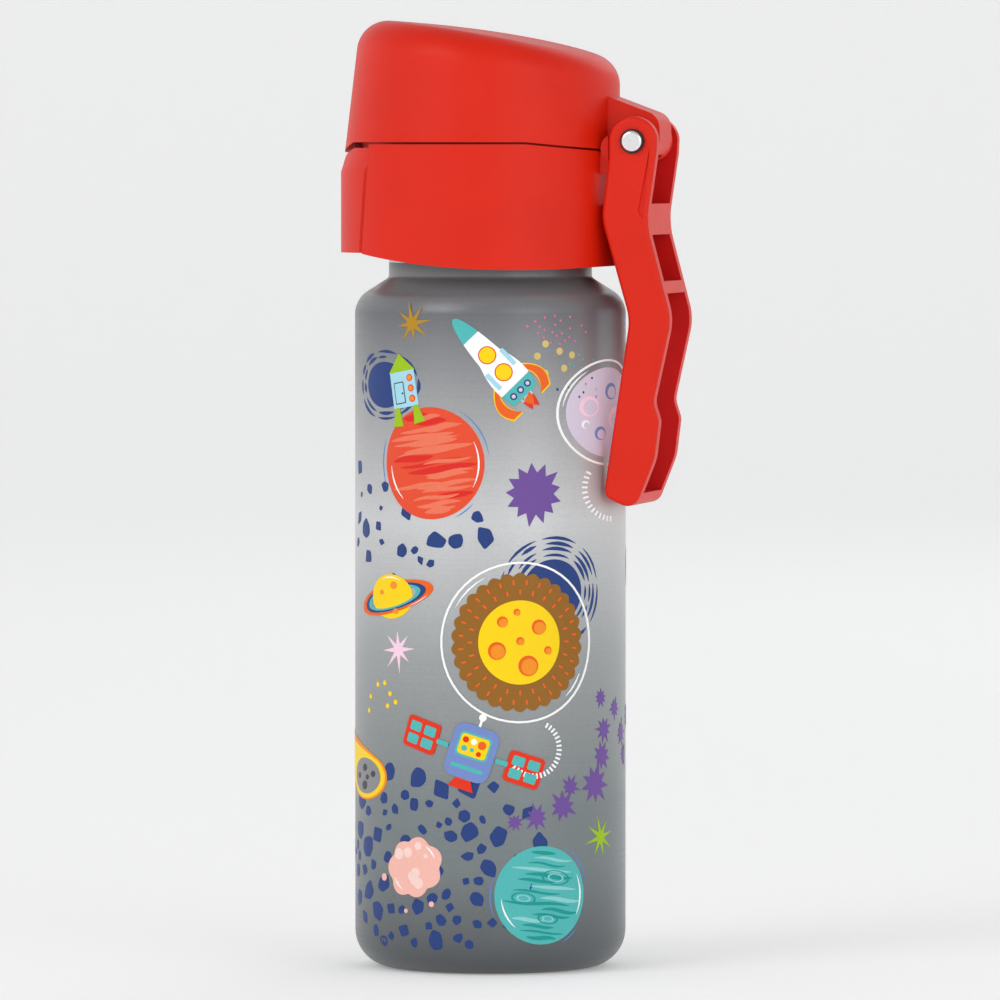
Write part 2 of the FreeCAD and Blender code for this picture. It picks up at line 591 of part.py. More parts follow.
def make_button():
    centre = "-collar_shift"
    lower = cylinder("button_lower", COLLAR_OUT, "%s + button_drop" % BUTTON_LEVEL, x=centre,
                     z="-button_drop")
    upper = put(add("Part::Cone", "button_upper", Radius1=COLLAR_OUT,
                    Radius2="%s - button_slope_in" % COLLAR_OUT, Height="button_slope - button_gap"),
                x=centre, z=BUTTON_LEVEL)
    hollow = cylinder("button_hollow", BUTTON_IN, "60", x=centre, z="-30")
    ring = cut("button_ring", fuse("button_round", lower, upper), hollow)
    panel = common("button_panel", ring, button_wedge("button_sides", "0"),
                   seam_shape("button_below_seam", "-seam_gap * 2.2", False))
    inner_x = "(-collar_shift - %s)" % BUTTON_IN
    behind = "(%s - 1)" % inner_x
    rod = "2 * button_pin_radius"
    pivot_block = cross_box("button_pivot_block", behind, PIVOT_X, "pivot_half",
                            "-button_pin_drop - %s" % rod, "%s - button_pin_drop" % rod)
    pivot_nose = cross_pin("button_pivot_nose", rod, "pivot_half", x=PIVOT_X, z="-button_pin_drop")
    pivot_gap = cross_box("button_pivot_gap", inner_x, "0", "3.5", "-30", "0")
    pivots = cut("button_pivots", fuse("button_pivot_solid", pivot_block, pivot_nose), pivot_gap)
    latch_low = "(seam_level - latch_drop)"
    latch_solid = cross_box("button_latch_frame", behind, "%s + latch_reach" % inner_x, "latch_half",
                            latch_low, "%s + latch_wall" % latch_low)
    latch_hole = cross_box("button_latch_hole", inner_x, "%s + latch_reach - latch_wall * 0.8" % inner_x,
                           "latch_half - latch_wall", "0", "30")
    latch = cut("button_latch", latch_solid, latch_hole)
    boss = cylinder("button_spring_boss", "push_coil - push_wire - 0.05", "2", turn=ALONG_X,
                    x="%s - 0.9" % inner_x)
    bore = cross_pin("button_bore", "button_pin_radius + pin_clear", "lug_half", x=PIVOT_X,
                     z="-button_pin_drop")
    keep(cut("button_done", fuse("button_fused", panel, pivots, latch, boss), bore), "push_button", NECK_TOP)
    pin = cross_pin("button_pin", "button_pin_radius", "%s + 0.3" % PIVOT_OUT, x=PIVOT_X,
                    z="%s - button_pin_drop" % NECK_TOP)
    keep(pin, "button_pin")


def cover_solid(name, inset):
    """The cover's leaning, tapering form with its domed top, taken in all round by an inset."""
    rings = []
    for level in ("-6", "36"):
        ring = add("Part::Circle", "%s_ring%s" % (name, level.strip("-")),
                   Radius="body_radius + cover_radius - cover_taper * (%s) - (%s)" % (level, inset))
        rings.append(put(ring, x="cover_lean * (%s) - cover_shift" % level, z="seam_level + (%s)" % level))
    form = doc.addObject("Part::Loft", name + "_form")
    form.Sections, form.Solid, form.Ruled = rings, True, True
    tilt = "(cover_tilt * 1deg)"
    dome = cross_pin(name + "_dome", "cover_crown - (%s)" % inset, "2 * body_radius",
                     x="1 - cover_crown * sin%s" % tilt, z="cover_height - cover_crown * cos%s" % tilt)
    raw = common(name + "_raw", form, dome)
    doc.recompute()
    rounding = value("cover_edge - (%s)" % inset)
    middle = value("seam_level + 10")
    edges = [number for number, edge in enumerate(raw.Shape.Edges, start=1)
             if edge.BoundBox.ZMin > middle and edge.BoundBox.ZLength < 20 and edge.BoundBox.XLength > 5]
    rounded = doc.addObject("Part::Fillet", name + "_rounded")
    rounded.Base = raw
    rounded.Edges = [(number, rounding, rounding) for number in edges]
    return rounded


def make_cover():
    outer, inner = cover_solid("cover_outer", "0"), cover_solid("cover_inner", "cover_wall")
    above = seam_shape("cover_above_seam", "seam_gap / 2", True)
    shell = common("cover_shell", cut("cover_hollow", outer, inner), above)
    front = "(-cover_shift - body_radius - cover_radius + cover_wall)"
    tongue_out, tongue_in = "(%s + 1)" % front, "(%s + 2)" % front
    tongue_root = cross_box("tongue_root", "%s - 0.8" % front, tongue_in, "tongue_half", "seam_level - 0.2",
                            "seam_level + 6")
    tongue = cross_box("tongue_blade", tongue_out, tongue_in, "tongue_half", "seam_level - tongue_drop",
                       "seam_level + 3")
    barb = cross_box("tongue_barb", tongue_out, "%s + 0.4" % tongue_in, "tongue_half",
                     "seam_level - tongue_drop", "seam_level - tongue_drop + 1.6")
    solid_lug = make_lug()
    whole = fuse("cover_fused", shell, tongue_root, tongue, barb, solid_lug)
    hole = cross_pin("cover_pin_hole", "pin_radius + pin_clear", "2 * lug_half", x=HINGE_X, z="hinge_level")
    keep(cut("cover_done", whole, hole), "flip_cover", NECK_TOP)
    flange = cylinder("holder_flange", "spout_mouth + 2.5", "1.5", x="-tower_shift",
                      z="spout_top + plug_gap + 2.4")
    post = cylinder("holder_post", "spout_mouth - 1", "cover_height - spout_top", x="-tower_shift",
                    z="spout_top + plug_gap + 2.4")
    holder = common("holder_done", fuse("holder_fused", flange, post), inner)
    keep(holder, "plug_holder", NECK_TOP)
    plug = turned("plug", [
        ("0", "spout_top - 1.4", "left", "8"),
        ("spout_mouth - 1.4", "spout_top + plug_gap"),
        ("spout_mouth + 2.2", "spout_top + plug_gap"),
        ("spout_mouth + 2.2", "spout_top + plug_gap + 2.4"),
        ("0", "spout_top + plug_gap + 2.4"),
    ])
    keep(plug, "seal_plug", NECK_TOP, x="-tower_shift")


def make_lug():
    """The cover's rear lug, which turns on the hinge pin and holds the hinge spring."""
    wall_x = "(body_radius + cover_radius - cover_shift - cover_wall / 2 - 0.6)"
    low = "(seam_level - 1)"
    blade = prism("lug_blade", [
        (wall_x, low),
        ("%s - barrel_radius" % HINGE_X, low),
        ("%s - barrel_radius" % HINGE_X, "hinge_level"),
        (HINGE_X, "hinge_level - 1"),
        ("%s + 5.2" % HINGE_X, "hinge_level"),
        ("%s + 5.1" % HINGE_X, "hinge_level + 3", "left", "4"),
        ("%s + 2.6" % HINGE_X, "hinge_level + 6.9"),
        (wall_x, "hinge_level + 11"),
    ], "2 * lug_half")
    barrel = cross_pin("lug_barrel", "barrel_radius + 0.2", "lug_half", x=HINGE_X, z="hinge_level")
    slot = cross_box("lug_slot", "%s - 4.2" % HINGE_X, "%s + hood_reach" % HINGE_X, "spring_slot",
                     "hinge_level - 10", "hinge_level + 3.2")
    leg_slot = cross_box("lug_leg_slot", "%s - collar_shift - 3" % COLLAR_OUT, HINGE_X, "spring_slot",
                         "hinge_level - 10", "hinge_level - 0.6")
    lug = cut("lug_done", fuse("lug_solid", blade, barrel), slot, leg_slot)
    inside = cylinder("lug_trim", "body_radius + cover_radius - cover_wall - lip_gap / 3", "80",
                      x="-cover_shift", z="-20")
    return cut("lug_trimmed", lug, inside)


def make_hinge():
    level = "(%s + hinge_level)" % NECK_TOP
    end = "(%s + 0.8)" % HEAD_IN
    pin = turned("pin", [
        ("0", "-(%s)" % end),
        ("pin_radius", "-(%s)" % end),
        ("pin_radius", HEAD_IN),
        ("pin_head", HEAD_IN),
        ("pin_head", "%s + 0.7" % HEAD_IN, "left", "0.6"),
        ("pin_head - 0.5", "%s + 1.2" % HEAD_IN),
        ("0", "%s + 1.2" % HEAD_IN),
    ])
    pin.Placement = FreeCAD.Placement(V(), FreeCAD.Rotation(V(1, 0, 0), 90))
    keep(pin, "hinge_pin", level, x=HINGE_X)
    cap = turned("cap", [
        ("0", end),
        ("pin_radius", end),
        ("pin_radius", HEAD_IN),
        ("pin_head", HEAD_IN),
        ("pin_head", "%s + 0.7" % HEAD_IN, "left", "0.6"),
        ("pin_head - 0.5", "%s + 1.2" % HEAD_IN),
        ("0", "%s + 1.2" % HEAD_IN),
    ])
    cap.Placement = FreeCAD.Placement(V(), ALONG_Y)
    keep(cap, "hinge_pin_cap", level, x=HINGE_X)
    rings = []
    for side, start in (("near", "-%s - washer_wall" % WASHER_IN), ("far", WASHER_IN)):
        rings.append(cylinder("washer_" + side, "washer_radius", "washer_wall", turn=ALONG_Y, x=HINGE_X,
                              y=start, z=level))
    bore = cross_pin("washer_bore", "pin_radius", "2 * %s" % HEAD_IN, x=HINGE_X, z=level)
    keep(cut("washers_done", fuse("washers", *rings), bore), "hinge_washers")


def make_handle():
    drop = "handle_drop"
    eye_x, eye_z = "eye_radius * cos(5deg)", "eye_radius * sin(5deg)"
    bends = [
        ("-eye_radius", "-4.6", "6"),
        ("-7.6", "-%s * 0.216" % drop, "14"),
        ("-0.8", "-%s * 0.497" % drop, "13"),
        ("-7.1", "-%s * 0.994" % drop, "2.5"),
        ("0.4", "-%s * 1.034" % drop, "3.2"),
        ("5.3", "-%s * 0.888" % drop, "12"),
        ("6.4", "-%s * 0.782" % drop, "3.5"),
        ("5.0", "-%s * 0.73" % drop, "5"),
        ("9.3", "-%s * 0.498" % drop, "14"),
        ("3.3", "-%s * 0.228" % drop, "20"),
        ("eye_radius - 0.2", "-3", "6"),
    ]
    eye_ends = [(eye_x, eye_z, "4"), ("-%s" % eye_x, eye_z, "4")]
    corners = [(eye_x, eye_z, "left", "eye_radius"), ("-%s" % eye_x, eye_z)] + [bend[:2] for bend in bends]
    blade = round_bends("handle_bent", prism("handle_blade", corners, "2 * %s" % ARM_OUT), eye_ends + bends)
    whole = round_sides("handle_soft", blade, ARM_OUT, "handle_edge")
    gap_low = "-%s * 0.175" % drop
    between = cross_box("handle_gap", "-20", "20", ARM_IN, gap_low, "20")
    pocket = cross_box("handle_pocket", "-2.2", "20", "%s - rail_wall" % ARM_OUT, "-%s * 0.392" % drop,
                       "-%s * 0.262" % drop)
    loop = cross_box("handle_loop", "-20", "20", "%s - rail_wall" % ARM_OUT, "-%s * 0.985" % drop,
                     "-%s * 0.426" % drop)
    body_room = cylinder("handle_body_room", "body_radius + handle_clear", "200", x="-%s" % HINGE_X, z="-220")
    lid_room = cylinder("handle_lid_room", "%s + handle_clear" % COLLAR_OUT, "60",
                        x="-%s - collar_shift" % HINGE_X, z="-40")
    hole = cross_pin("handle_hole", "pin_radius + pin_clear", "2 * %s" % ARM_OUT)
    sliver = prism("groove_sliver", [
        ("eye_radius - 1.7", "-1.5"),
        ("eye_radius - 4.6", "-%s * 0.197" % drop),
        ("eye_radius - 3.4", "-%s * 0.216" % drop),
    ], "2 * %s + 4" % ARM_OUT)
    arms = cross_box("groove_limit", "-20", "20", "%s - groove_depth" % ARM_OUT, "-2 * %s" % drop, "20")
    groove = cut("handle_groove", sliver, arms)
    done = cut("handle_done", whole, between, pocket, loop, body_room, lid_room, hole, groove)
    keep(done, "carry_handle", "%s + hinge_level" % NECK_TOP, x=HINGE_X)


def wire_solid(helix_radius, pitch, turns, wire):
    """A round wire swept along a helix about Z that starts on +X."""
    helix = Part.makeHelix(pitch, pitch * turns, helix_radius)
    section = Part.Wire(Part.makeCircle(wire / 2, V(helix_radius, 0, 0), V(0, 1, 0)))
    return Part.Wire(helix.Edges).makePipeShell([section], True, True)


def make_springs():
    """Springs are wound wire, which no primitive gives, so their shapes are set directly."""
    wire, turns = value("push_wire"), value("push_turns")
    skirt_x, button_x = -value(SKIRT_OUT), value("-collar_shift - %s" % BUTTON_IN)
    length = skirt_x - button_x - 0.16
    push = wire_solid(value("push_coil"), (length - wire) / turns, turns, wire)
    feature = doc.addObject("Part::Feature", "push_spring")
    feature.Shape = push
    feature.Placement = FreeCAD.Placement(V(button_x + 0.08 + wire / 2, 0, value(NECK_TOP)), ALONG_X)
    feature.Label = "button_spring"
    SUBPARTS.append(feature)
    wire, turns = value("hinge_wire"), value("hinge_turns")
    radius, half = value("pin_radius") + 0.65, value("spring_slot") - 0.6
    pitch = 2 * half / turns
    body = wire_solid(radius, pitch, turns, wire)
    tail = value("%s - (%s - collar_shift) - 0.1" % (HINGE_X, COLLAR_OUT))
    lower_leg = Part.makeCylinder(wire / 2, tail, V(radius, 0, 0), V(0, -1, 0))
    upper_leg = Part.makeCylinder(wire / 2, 3.6, V(-radius, 0, 2 * half), V(0, -1, 0))
    feature = doc.addObject("Part::Feature", "cover_spring")
    feature.Shape = body.fuse([lower_leg, upper_leg])
    turn = FreeCAD.Rotation(V(0, 0, -1), V(1, 0, 0), V(0, -1, 0), "ZXY")
    feature.Placement = FreeCAD.Placement(V(value(HINGE_X), half, value("%s + hinge_level" % NECK_TOP)), turn)
    feature.Label = "hinge_spring"
    SUBPARTS.append(feature)


make_bottle()
make_insert()
make_collar()
make_spout()
make_button()
make_cover()
make_hinge()
make_handle()
make_springs()
doc.recompute()

for thing in doc.Objects:
    if "Invalid" in thing.State or "Error" in thing.State:
        raise RuntimeError("%s failed: %s" % (thing.Name, thing.State))
os.makedirs("parts", exist_ok=True)
for thing in SUBPARTS:
    if thing.Shape.isNull() or not thing.Shape.isValid():
        raise RuntimeError("%s has no valid shape" % thing.Label)
    box_of = thing.Shape.BoundBox
    print("%-16s %2d solids %9.1f mm3  x %.2f..%.2f  y %.2f..%.2f  z %.2f..%.2f" % (
        thing.Label, len(thing.Shape.Solids), thing.Shape.Volume, box_of.XMin, box_of.XMax, box_of.YMin,
        box_of.YMax, box_of.ZMin, box_of.ZMax))
    thing.Shape.exportStep("parts/%s.step" % thing.Label)
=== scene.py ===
import bpy
import bmesh
import math
import random
from mathutils import Matrix, Vector


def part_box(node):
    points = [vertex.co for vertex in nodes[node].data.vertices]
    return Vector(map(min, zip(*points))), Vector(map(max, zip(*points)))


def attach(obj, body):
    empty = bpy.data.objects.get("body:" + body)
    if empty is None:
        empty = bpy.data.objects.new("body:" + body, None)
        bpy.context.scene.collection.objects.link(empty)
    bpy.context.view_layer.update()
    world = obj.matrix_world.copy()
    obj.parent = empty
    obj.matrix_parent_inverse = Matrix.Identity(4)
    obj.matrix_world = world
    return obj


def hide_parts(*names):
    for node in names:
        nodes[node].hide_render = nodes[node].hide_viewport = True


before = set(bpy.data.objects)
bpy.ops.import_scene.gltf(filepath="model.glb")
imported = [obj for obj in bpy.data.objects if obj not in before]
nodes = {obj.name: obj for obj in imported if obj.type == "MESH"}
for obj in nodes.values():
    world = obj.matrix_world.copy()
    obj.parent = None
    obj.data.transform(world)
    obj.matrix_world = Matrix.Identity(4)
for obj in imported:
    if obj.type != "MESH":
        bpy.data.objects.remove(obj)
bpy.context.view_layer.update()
print("frame loaded:", len(nodes), "nodes")

mm = 0.001


# small helpers

def linearColour(code):
    # an sRGB hex value, such as "#E63312", as linear red, green, blue and alpha
    channels = [int(code[k:k + 2], 16) / 255 for k in (1, 3, 5)]
    return tuple(c / 12.92 if c <= 0.04045 else ((c + 0.055) / 1.055) ** 2.4 for c in channels) + (1.0,)


def addNode(tree, kind, settings=None, links=None):
    # settings go to the inputs or properties of that name; links join an input to another node's output
    node = tree.nodes.new(kind)
    for name, setting in (settings or {}).items():
        if name == "stops":
            ramp = node.color_ramp
            while len(ramp.elements) < len(setting):
                ramp.elements.new(0.5)
            for element, (position, colour) in zip(ramp.elements, setting):
                element.position = position
                element.color = colour
        elif isinstance(name, int) or name in node.inputs:
            node.inputs[name].default_value = setting
        else:
            setattr(node, name, setting)
    for name, source in (links or {}).items():
        tree.links.new(source, node.inputs[name])
    return node


def newMaterial(name):
    # a new material, with its tree, its shader and the object coordinates that patterns follow
    material = bpy.data.materials.new(name)
    material.use_nodes = True
    tree = material.node_tree
    shader = tree.nodes["Principled BSDF"]
    place = addNode(tree, "ShaderNodeTexCoord").outputs["Object"]
    return material, tree, shader, place


def setShader(shader, settings):
    for name, setting in settings.items():
        shader.inputs[name].default_value = setting


def meshPiece(name, bm, materials, body, limit=30):
    # a finished mesh in the frame: smooth faces, and sharp edges past the limit in degrees
    for face in bm.faces:
        face.smooth = True
    for edge in bm.edges:
        edge.smooth = len(edge.link_faces) == 2 and edge.calc_face_angle() < math.radians(limit)
    mesh = bpy.data.meshes.new(name)
    bm.to_mesh(mesh)
    bm.free()
    for material in materials:
        mesh.materials.append(material)
    piece = bpy.data.objects.new(name, mesh)
    bpy.context.scene.collection.objects.link(piece)
    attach(piece, body)
    return piece


# materials of the bottle and its lid

noiseSpan = {"From Min": 0.3, "From Max": 0.7}      # most of a noise pattern lies between these
# painted sheen: the colour fades dark, light, dark up the body in place of the metal's reflection; the stops
# by the shoulder are lighter, a painted highlight against the collar's shadow
steelLook = {
    "paintedSheen": [(0.0, "#505456"), (0.053, "#5D6265"), (0.152, "#777F81"), (0.237, "#7C8486"), (0.379, "#95999A"),
             (0.45, "#A0A4A5"), (0.64, "#CFD0D1"), (0.762, "#AFAFB1"), (0.876, "#85878A"), (0.93, "#6C6D71"),
             (0.96, "#86898C"), (0.985, "#84878A"), (1.0, "#5C6063")],
    "paintedSheenEnd": 13.0,        # mm below the rim
    "shades": (0.9, 1.04),  # darkest and lightest flakes, as shares of the painted sheen's colour
    "lineWidth": 0.35,      # mm between brush lines; the real ones are 0.1, drawn coarse enough to show
    "grain": 0.6,           # mm, flakes in the lacquer, also drawn coarse
    "roughness": 0.36,
    "metallic": 0.25,
    "coat": 0.15,
}


def lacqueredSteelPaintedSheen(bottomZ, topZ):
    # drawn stainless steel under a satin lacquer, its colour faded dark, light, dark up the body as painted
    # sheen in place of the metal's reflection, with faint brush lines that run round the body
    material, tree, shader, place = newMaterial("lacqueredBrushedSteelPaintedSheen")
    height = addNode(tree, "ShaderNodeSeparateXYZ", links={0: place}).outputs["Z"]
    share = addNode(tree, "ShaderNodeMapRange", {"From Min": bottomZ, "From Max": topZ}, {"Value": height})
    # painted sheen: colour by height that stands in for the metal's reflection
    stops = [(position, linearColour(code)) for position, code in steelLook["paintedSheen"]]
    paintedSheen = addNode(tree, "ShaderNodeValToRGB", {"stops": stops}, {"Fac": share.outputs[0]})
    lines = addNode(tree, "ShaderNodeMapping", {"Scale": (6, 6, 1 / (steelLook["lineWidth"] * mm))},
                    {"Vector": place})
    brush = addNode(tree, "ShaderNodeTexNoise", {"Scale": 1.0, "Detail": 3.0}, {"Vector": lines.outputs[0]})
    flakes = addNode(tree, "ShaderNodeTexNoise", {"Scale": 1 / (steelLook["grain"] * mm), "Detail": 2.0},
                     {"Vector": place})
    mottle = addNode(tree, "ShaderNodeMix", {"data_type": "FLOAT", 0: 0.5},
                     {2: brush.outputs[0], 3: flakes.outputs[0]})
    darkest, lightest = steelLook["shades"]
    light = addNode(tree, "ShaderNodeMapRange", {**noiseSpan, "To Min": darkest, "To Max": lightest},
                    {"Value": mottle.outputs[0]})
    tint = addNode(tree, "ShaderNodeHueSaturation", {}, {"Value": light.outputs[0], "Color": paintedSheen.outputs[0]})
    tree.links.new(tint.outputs[0], shader.inputs["Base Color"])
    satin = addNode(tree, "ShaderNodeMapRange",
                    {**noiseSpan, "To Min": steelLook["roughness"] - 0.05,
                     "To Max": steelLook["roughness"] + 0.07}, {"Value": brush.outputs[0]})
    tree.links.new(satin.outputs[0], shader.inputs["Roughness"])
    relief = addNode(tree, "ShaderNodeBump", {"Strength": 0.12, "Distance": 0.02 * mm},
                     {"Height": mottle.outputs[0]})
    tree.links.new(relief.outputs[0], shader.inputs["Normal"])
    setShader(shader, {"Metallic": steelLook["metallic"], "Coat Weight": steelLook["coat"],
                       "Coat Roughness": 0.25})
    return material


def bareSteel(name, roughness, lineWidth, code):
    # stainless steel turned or drawn with no lacquer: bright, with fine lines round the axis
    material, tree, shader, place = newMaterial(name)
    lines = addNode(tree, "ShaderNodeMapping", {"Scale": (8, 8, 1 / (lineWidth * mm))}, {"Vector": place})
    brush = addNode(tree, "ShaderNodeTexNoise", {"Scale": 1.0, "Detail": 3.0}, {"Vector": lines.outputs[0]})
    satin = addNode(tree, "ShaderNodeMapRange",
                    {**noiseSpan, "To Min": roughness * 0.8, "To Max": roughness * 1.3},
                    {"Value": brush.outputs[0]})
    tree.links.new(satin.outputs[0], shader.inputs["Roughness"])
    relief = addNode(tree, "ShaderNodeBump", {"Strength": 0.1, "Distance": 0.02 * mm},
                     {"Height": brush.outputs[0]})
    tree.links.new(relief.outputs[0], shader.inputs["Normal"])
    setShader(shader, {"Base Color": linearColour(code), "Metallic": 1.0})
    return material


def mouldedPlastic(name, code, roughness, grain, relief, ior=1.49, depth=0.0, shine=0.5):
    # injection-moulded plastic or silicone: even colour with slight clouding, and the mould's fine grain
    material, tree, shader, place = newMaterial(name)
    cloud = addNode(tree, "ShaderNodeTexNoise", {"Scale": 60.0, "Detail": 2.0}, {"Vector": place})
    value = addNode(tree, "ShaderNodeMapRange", {**noiseSpan, "To Min": 0.97, "To Max": 1.03},
                    {"Value": cloud.outputs[0]})
    tint = addNode(tree, "ShaderNodeHueSaturation", {"Color": linearColour(code)},
                   {"Value": value.outputs[0]})
    tree.links.new(tint.outputs[0], shader.inputs["Base Color"])
    pits = addNode(tree, "ShaderNodeTexNoise", {"Scale": 1 / (grain * mm), "Detail": 3.0}, {"Vector": place})
    satin = addNode(tree, "ShaderNodeMapRange",
                    {**noiseSpan, "To Min": roughness - 0.04, "To Max": roughness + 0.06},
                    {"Value": pits.outputs[0]})
    tree.links.new(satin.outputs[0], shader.inputs["Roughness"])
    bump = addNode(tree, "ShaderNodeBump", {"Strength": relief, "Distance": 0.03 * mm},
                   {"Height": pits.outputs[0]})
    tree.links.new(bump.outputs[0], shader.inputs["Normal"])
    setShader(shader, {"IOR": ior, "Specular IOR Level": shine, "Subsurface Weight": depth,
                       "Subsurface Scale": 1.5 * mm})
    return material


shellLow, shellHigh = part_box("bottle_shell")
bodySteelPaintedSheen = lacqueredSteelPaintedSheen(shellLow.z, shellHigh.z - steelLook["paintedSheenEnd"] * mm)
# roughness, mm between lines, colour
innerSteel = bareSteel("electropolishedSteel", 0.3, 0.4, "#C4C6C8")
pinSteel = bareSteel("polishedPinSteel", 0.14, 0.2, "#F2F2F2")
springWire = bareSteel("drawnSpringWire", 0.28, 0.1, "#A9ABAE")
# colour, roughness, mm between the mould's grains, strength of the relief
redPlastic = mouldedPlastic("redPolypropylene", "#DE2106", 0.42, 0.45, 0.2, shine=0.25)
# painted shade: a darker red for faces in the hollows of the collar and handle, where shade falls
paintedShadeRedPlastic = mouldedPlastic("redPolypropylenePaintedShade", "#CE1413", 0.5, 0.45, 0.25, shine=0.2)
naturalPlastic = mouldedPlastic("naturalPolypropylene", "#E9E8E3", 0.42, 0.5, 0.15, depth=0.15)
milkySilicone = mouldedPlastic("milkySilicone", "#E3E6E6", 0.5, 0.6, 0.12, ior=1.41, depth=0.3)
spoutSilicone = mouldedPlastic("softTouchSilicone", "#EDEFEF", 0.55, 0.5, 0.2, ior=1.41, depth=0.3)
blackNylon = mouldedPlastic("blackNylon", "#0B0B0C", 0.45, 0.4, 0.15)
print("materials made")


# CAD pieces that keep their own mesh

nodeFinish = {
    "bottle_base": innerSteel, "lid_insert": naturalPlastic, "neck_gasket": milkySilicone,
    "drinking_spout": spoutSilicone, "vent_valve": milkySilicone, "button_pin": pinSteel,
    "button_spring": springWire, "hinge_spring": springWire, "plug_holder": naturalPlastic,
    "seal_plug": milkySilicone, "hinge_pin": pinSteel, "hinge_pin_cap": pinSteel,
    "hinge_washers": blackNylon,
}
for name, material in nodeFinish.items():
    nodes[name].material_slots[0].material = material


# red mouldings: the CAD shape with its points merged and its sharp edges softened, and a darker red as
# painted shade on the faces in the hollows of the collar and handle

mouldings = {               # mm
    "softEdge": 0.22,       # rounding of the moulded edges
    "sharpest": 38,         # degrees; flatter edges stay as they are
    "armInside": 11.7,      # from the middle plane to just past the inner sides of the handle's arms
    "handleFoot": 2.5,      # closed foot of the handle
    "pocketBack": 2.2,      # behind the middle of the hinge pin
    "windowSide": 20.0,     # from the middle plane; the sides of the button's window lie outside it
    "windowRear": -15.0,    # and in front of this
    "deckUnder": 194.0,     # up; the collar's deck and top edge lie above it
}
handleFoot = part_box("carry_handle")[0].z + mouldings["handleFoot"] * mm
pocketBack = sum(corner.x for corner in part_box("hinge_pin")) / 2 - mouldings["pocketBack"] * mm


def handlePaintedShade(centre, normal):
    # walls of the openings in the handle, the back of its pocket, and the inner sides of its arms: faces that
    # get the darker red as painted shade
    walls = max(abs(normal.y), abs(normal.z)) > 0.75
    back = normal.x > 0.9 and abs(centre.x - pocketBack) < 0.2 * mm
    return abs(centre.y) < mouldings["armInside"] * mm and centre.z > handleFoot and (walls or back)


def collarPaintedShade(centre, normal):
    # the sides of the button's window, and the deck and top edge under the cover: faces that get the darker
    # red as painted shade
    inward = abs(normal.y) > 0.8 and centre.y * normal.y < 0
    window = abs(centre.y) > mouldings["windowSide"] * mm and centre.x < mouldings["windowRear"] * mm
    return (inward and window) or (normal.z > 0.5 and centre.z > mouldings["deckUnder"] * mm)


def softenedCopy(name, source, body, inside=None):
    # a moulding in place of its CAD piece; faces that inside picks out get the darker red, painted shade in
    # the hollows
    bm = bmesh.new()
    bm.from_mesh(nodes[source].data)
    bmesh.ops.remove_doubles(bm, verts=bm.verts, dist=0.002 * mm)
    bmesh.ops.dissolve_limit(bm, angle_limit=math.radians(0.4), verts=bm.verts, edges=bm.edges,
                             use_dissolve_boundaries=False, delimit={"NORMAL"})
    for face in bm.faces:
        face.material_index = 1 if inside and inside(face.calc_center_median(), face.normal) else 0
    limit = math.radians(mouldings["sharpest"])
    sharp = [edge for edge in bm.edges if len(edge.link_faces) == 2 and edge.calc_face_angle() > limit]
    bmesh.ops.bevel(bm, geom=sharp, offset=mouldings["softEdge"] * mm, offset_type="OFFSET", segments=2,
                    profile=0.5, affect="EDGES", clamp_overlap=True, material=-1)
    bmesh.ops.triangulate(bm, faces=[f for f in bm.faces if len(f.verts) > 4])
    piece = meshPiece(name, bm, [redPlastic, paintedShadeRedPlastic], body, limit=32)
    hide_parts(source)
    weighted = piece.modifiers.new("evenShading", "WEIGHTED_NORMAL")
    weighted.keep_sharp = True


softenedCopy("moulded_collar", "lid_collar", "lid", collarPaintedShade)
softenedCopy("moulded_button", "push_button", "button")
softenedCopy("moulded_cover", "flip_cover", "cover")
softenedCopy("moulded_handle", "carry_handle", "handle", handlePaintedShade)
print("red mouldings done")


# steel body, spun like the real one

bodyShape = {               # mm
    "radius": 32.5,
    "wall": 0.6,
    "footOut": 23.5,
    "footIn": 19.0,
    "recess": 2.5,
    "corner": 9.0,
    "shoulderStart": 157.0,
    "shoulderArc": 6.0,
    "shoulderSlope": 32.7,
    "neck": 24.35,
    "neckLacquer": 3.6,     # lacquered foot of the neck; the rest is bare
    "rim": 1.85,
    "rimRoll": 2.8,         # height of the rolled rim inside
    "rimRoot": 4.6,         # below the top, where the roll has run into the wall
    "segments": 160,
}
thread = {                  # mm
    "height": 0.95,
    "sunk": 0.2,            # root of the ridge inside the neck wall
    "start": 9.9,           # below the rim
    "pitch": 4.0,
    "turns": 1.75,
    "angle": 25.0,          # degrees round to its lower end
    "rootHalf": 0.84,
    "crestHalf": 0.4,
    "stepsPerTurn": 48,
}
neckTop = shellHigh.z / mm


def wallRadius(height):
    # outer radius of the body at a height, in mm: the straight side, and the round corner at the foot
    corner = bodyShape["corner"]
    if height < corner:
        return bodyShape["footOut"] + math.sqrt(max(corner ** 2 - (corner - height) ** 2, 0))
    return bodyShape["radius"]


def threadRidge(bm):
    # a screw ridge: a small section spun up the neck, closed at both ends
    turns = thread["turns"]
    steps = int(turns * thread["stepsPerTurn"])
    root = bodyShape["neck"] - thread["sunk"]
    crest = bodyShape["neck"] + thread["height"]
    startZ = neckTop - thread["start"]
    section = [(root, -thread["rootHalf"]), (crest, -thread["crestHalf"]), (crest, thread["crestHalf"]),
               (root, thread["rootHalf"])]
    corners = [bm.verts.new((radius * mm, 0, (startZ + rise) * mm)) for radius, rise in section]
    face = bm.faces.new(corners)
    edges = list(face.edges)
    bmesh.ops.rotate(bm, verts=corners, cent=(0, 0, 0),
                     matrix=Matrix.Rotation(math.radians(thread["angle"]), 3, "Z"))
    bmesh.ops.spin(bm, geom=[face] + edges + corners, cent=(0, 0, 0), axis=(0, 0, 1),
                   dvec=(0, 0, thread["pitch"] * turns * mm / steps), angle=math.tau * turns, steps=steps,
                   use_merge=False, use_duplicate=False)


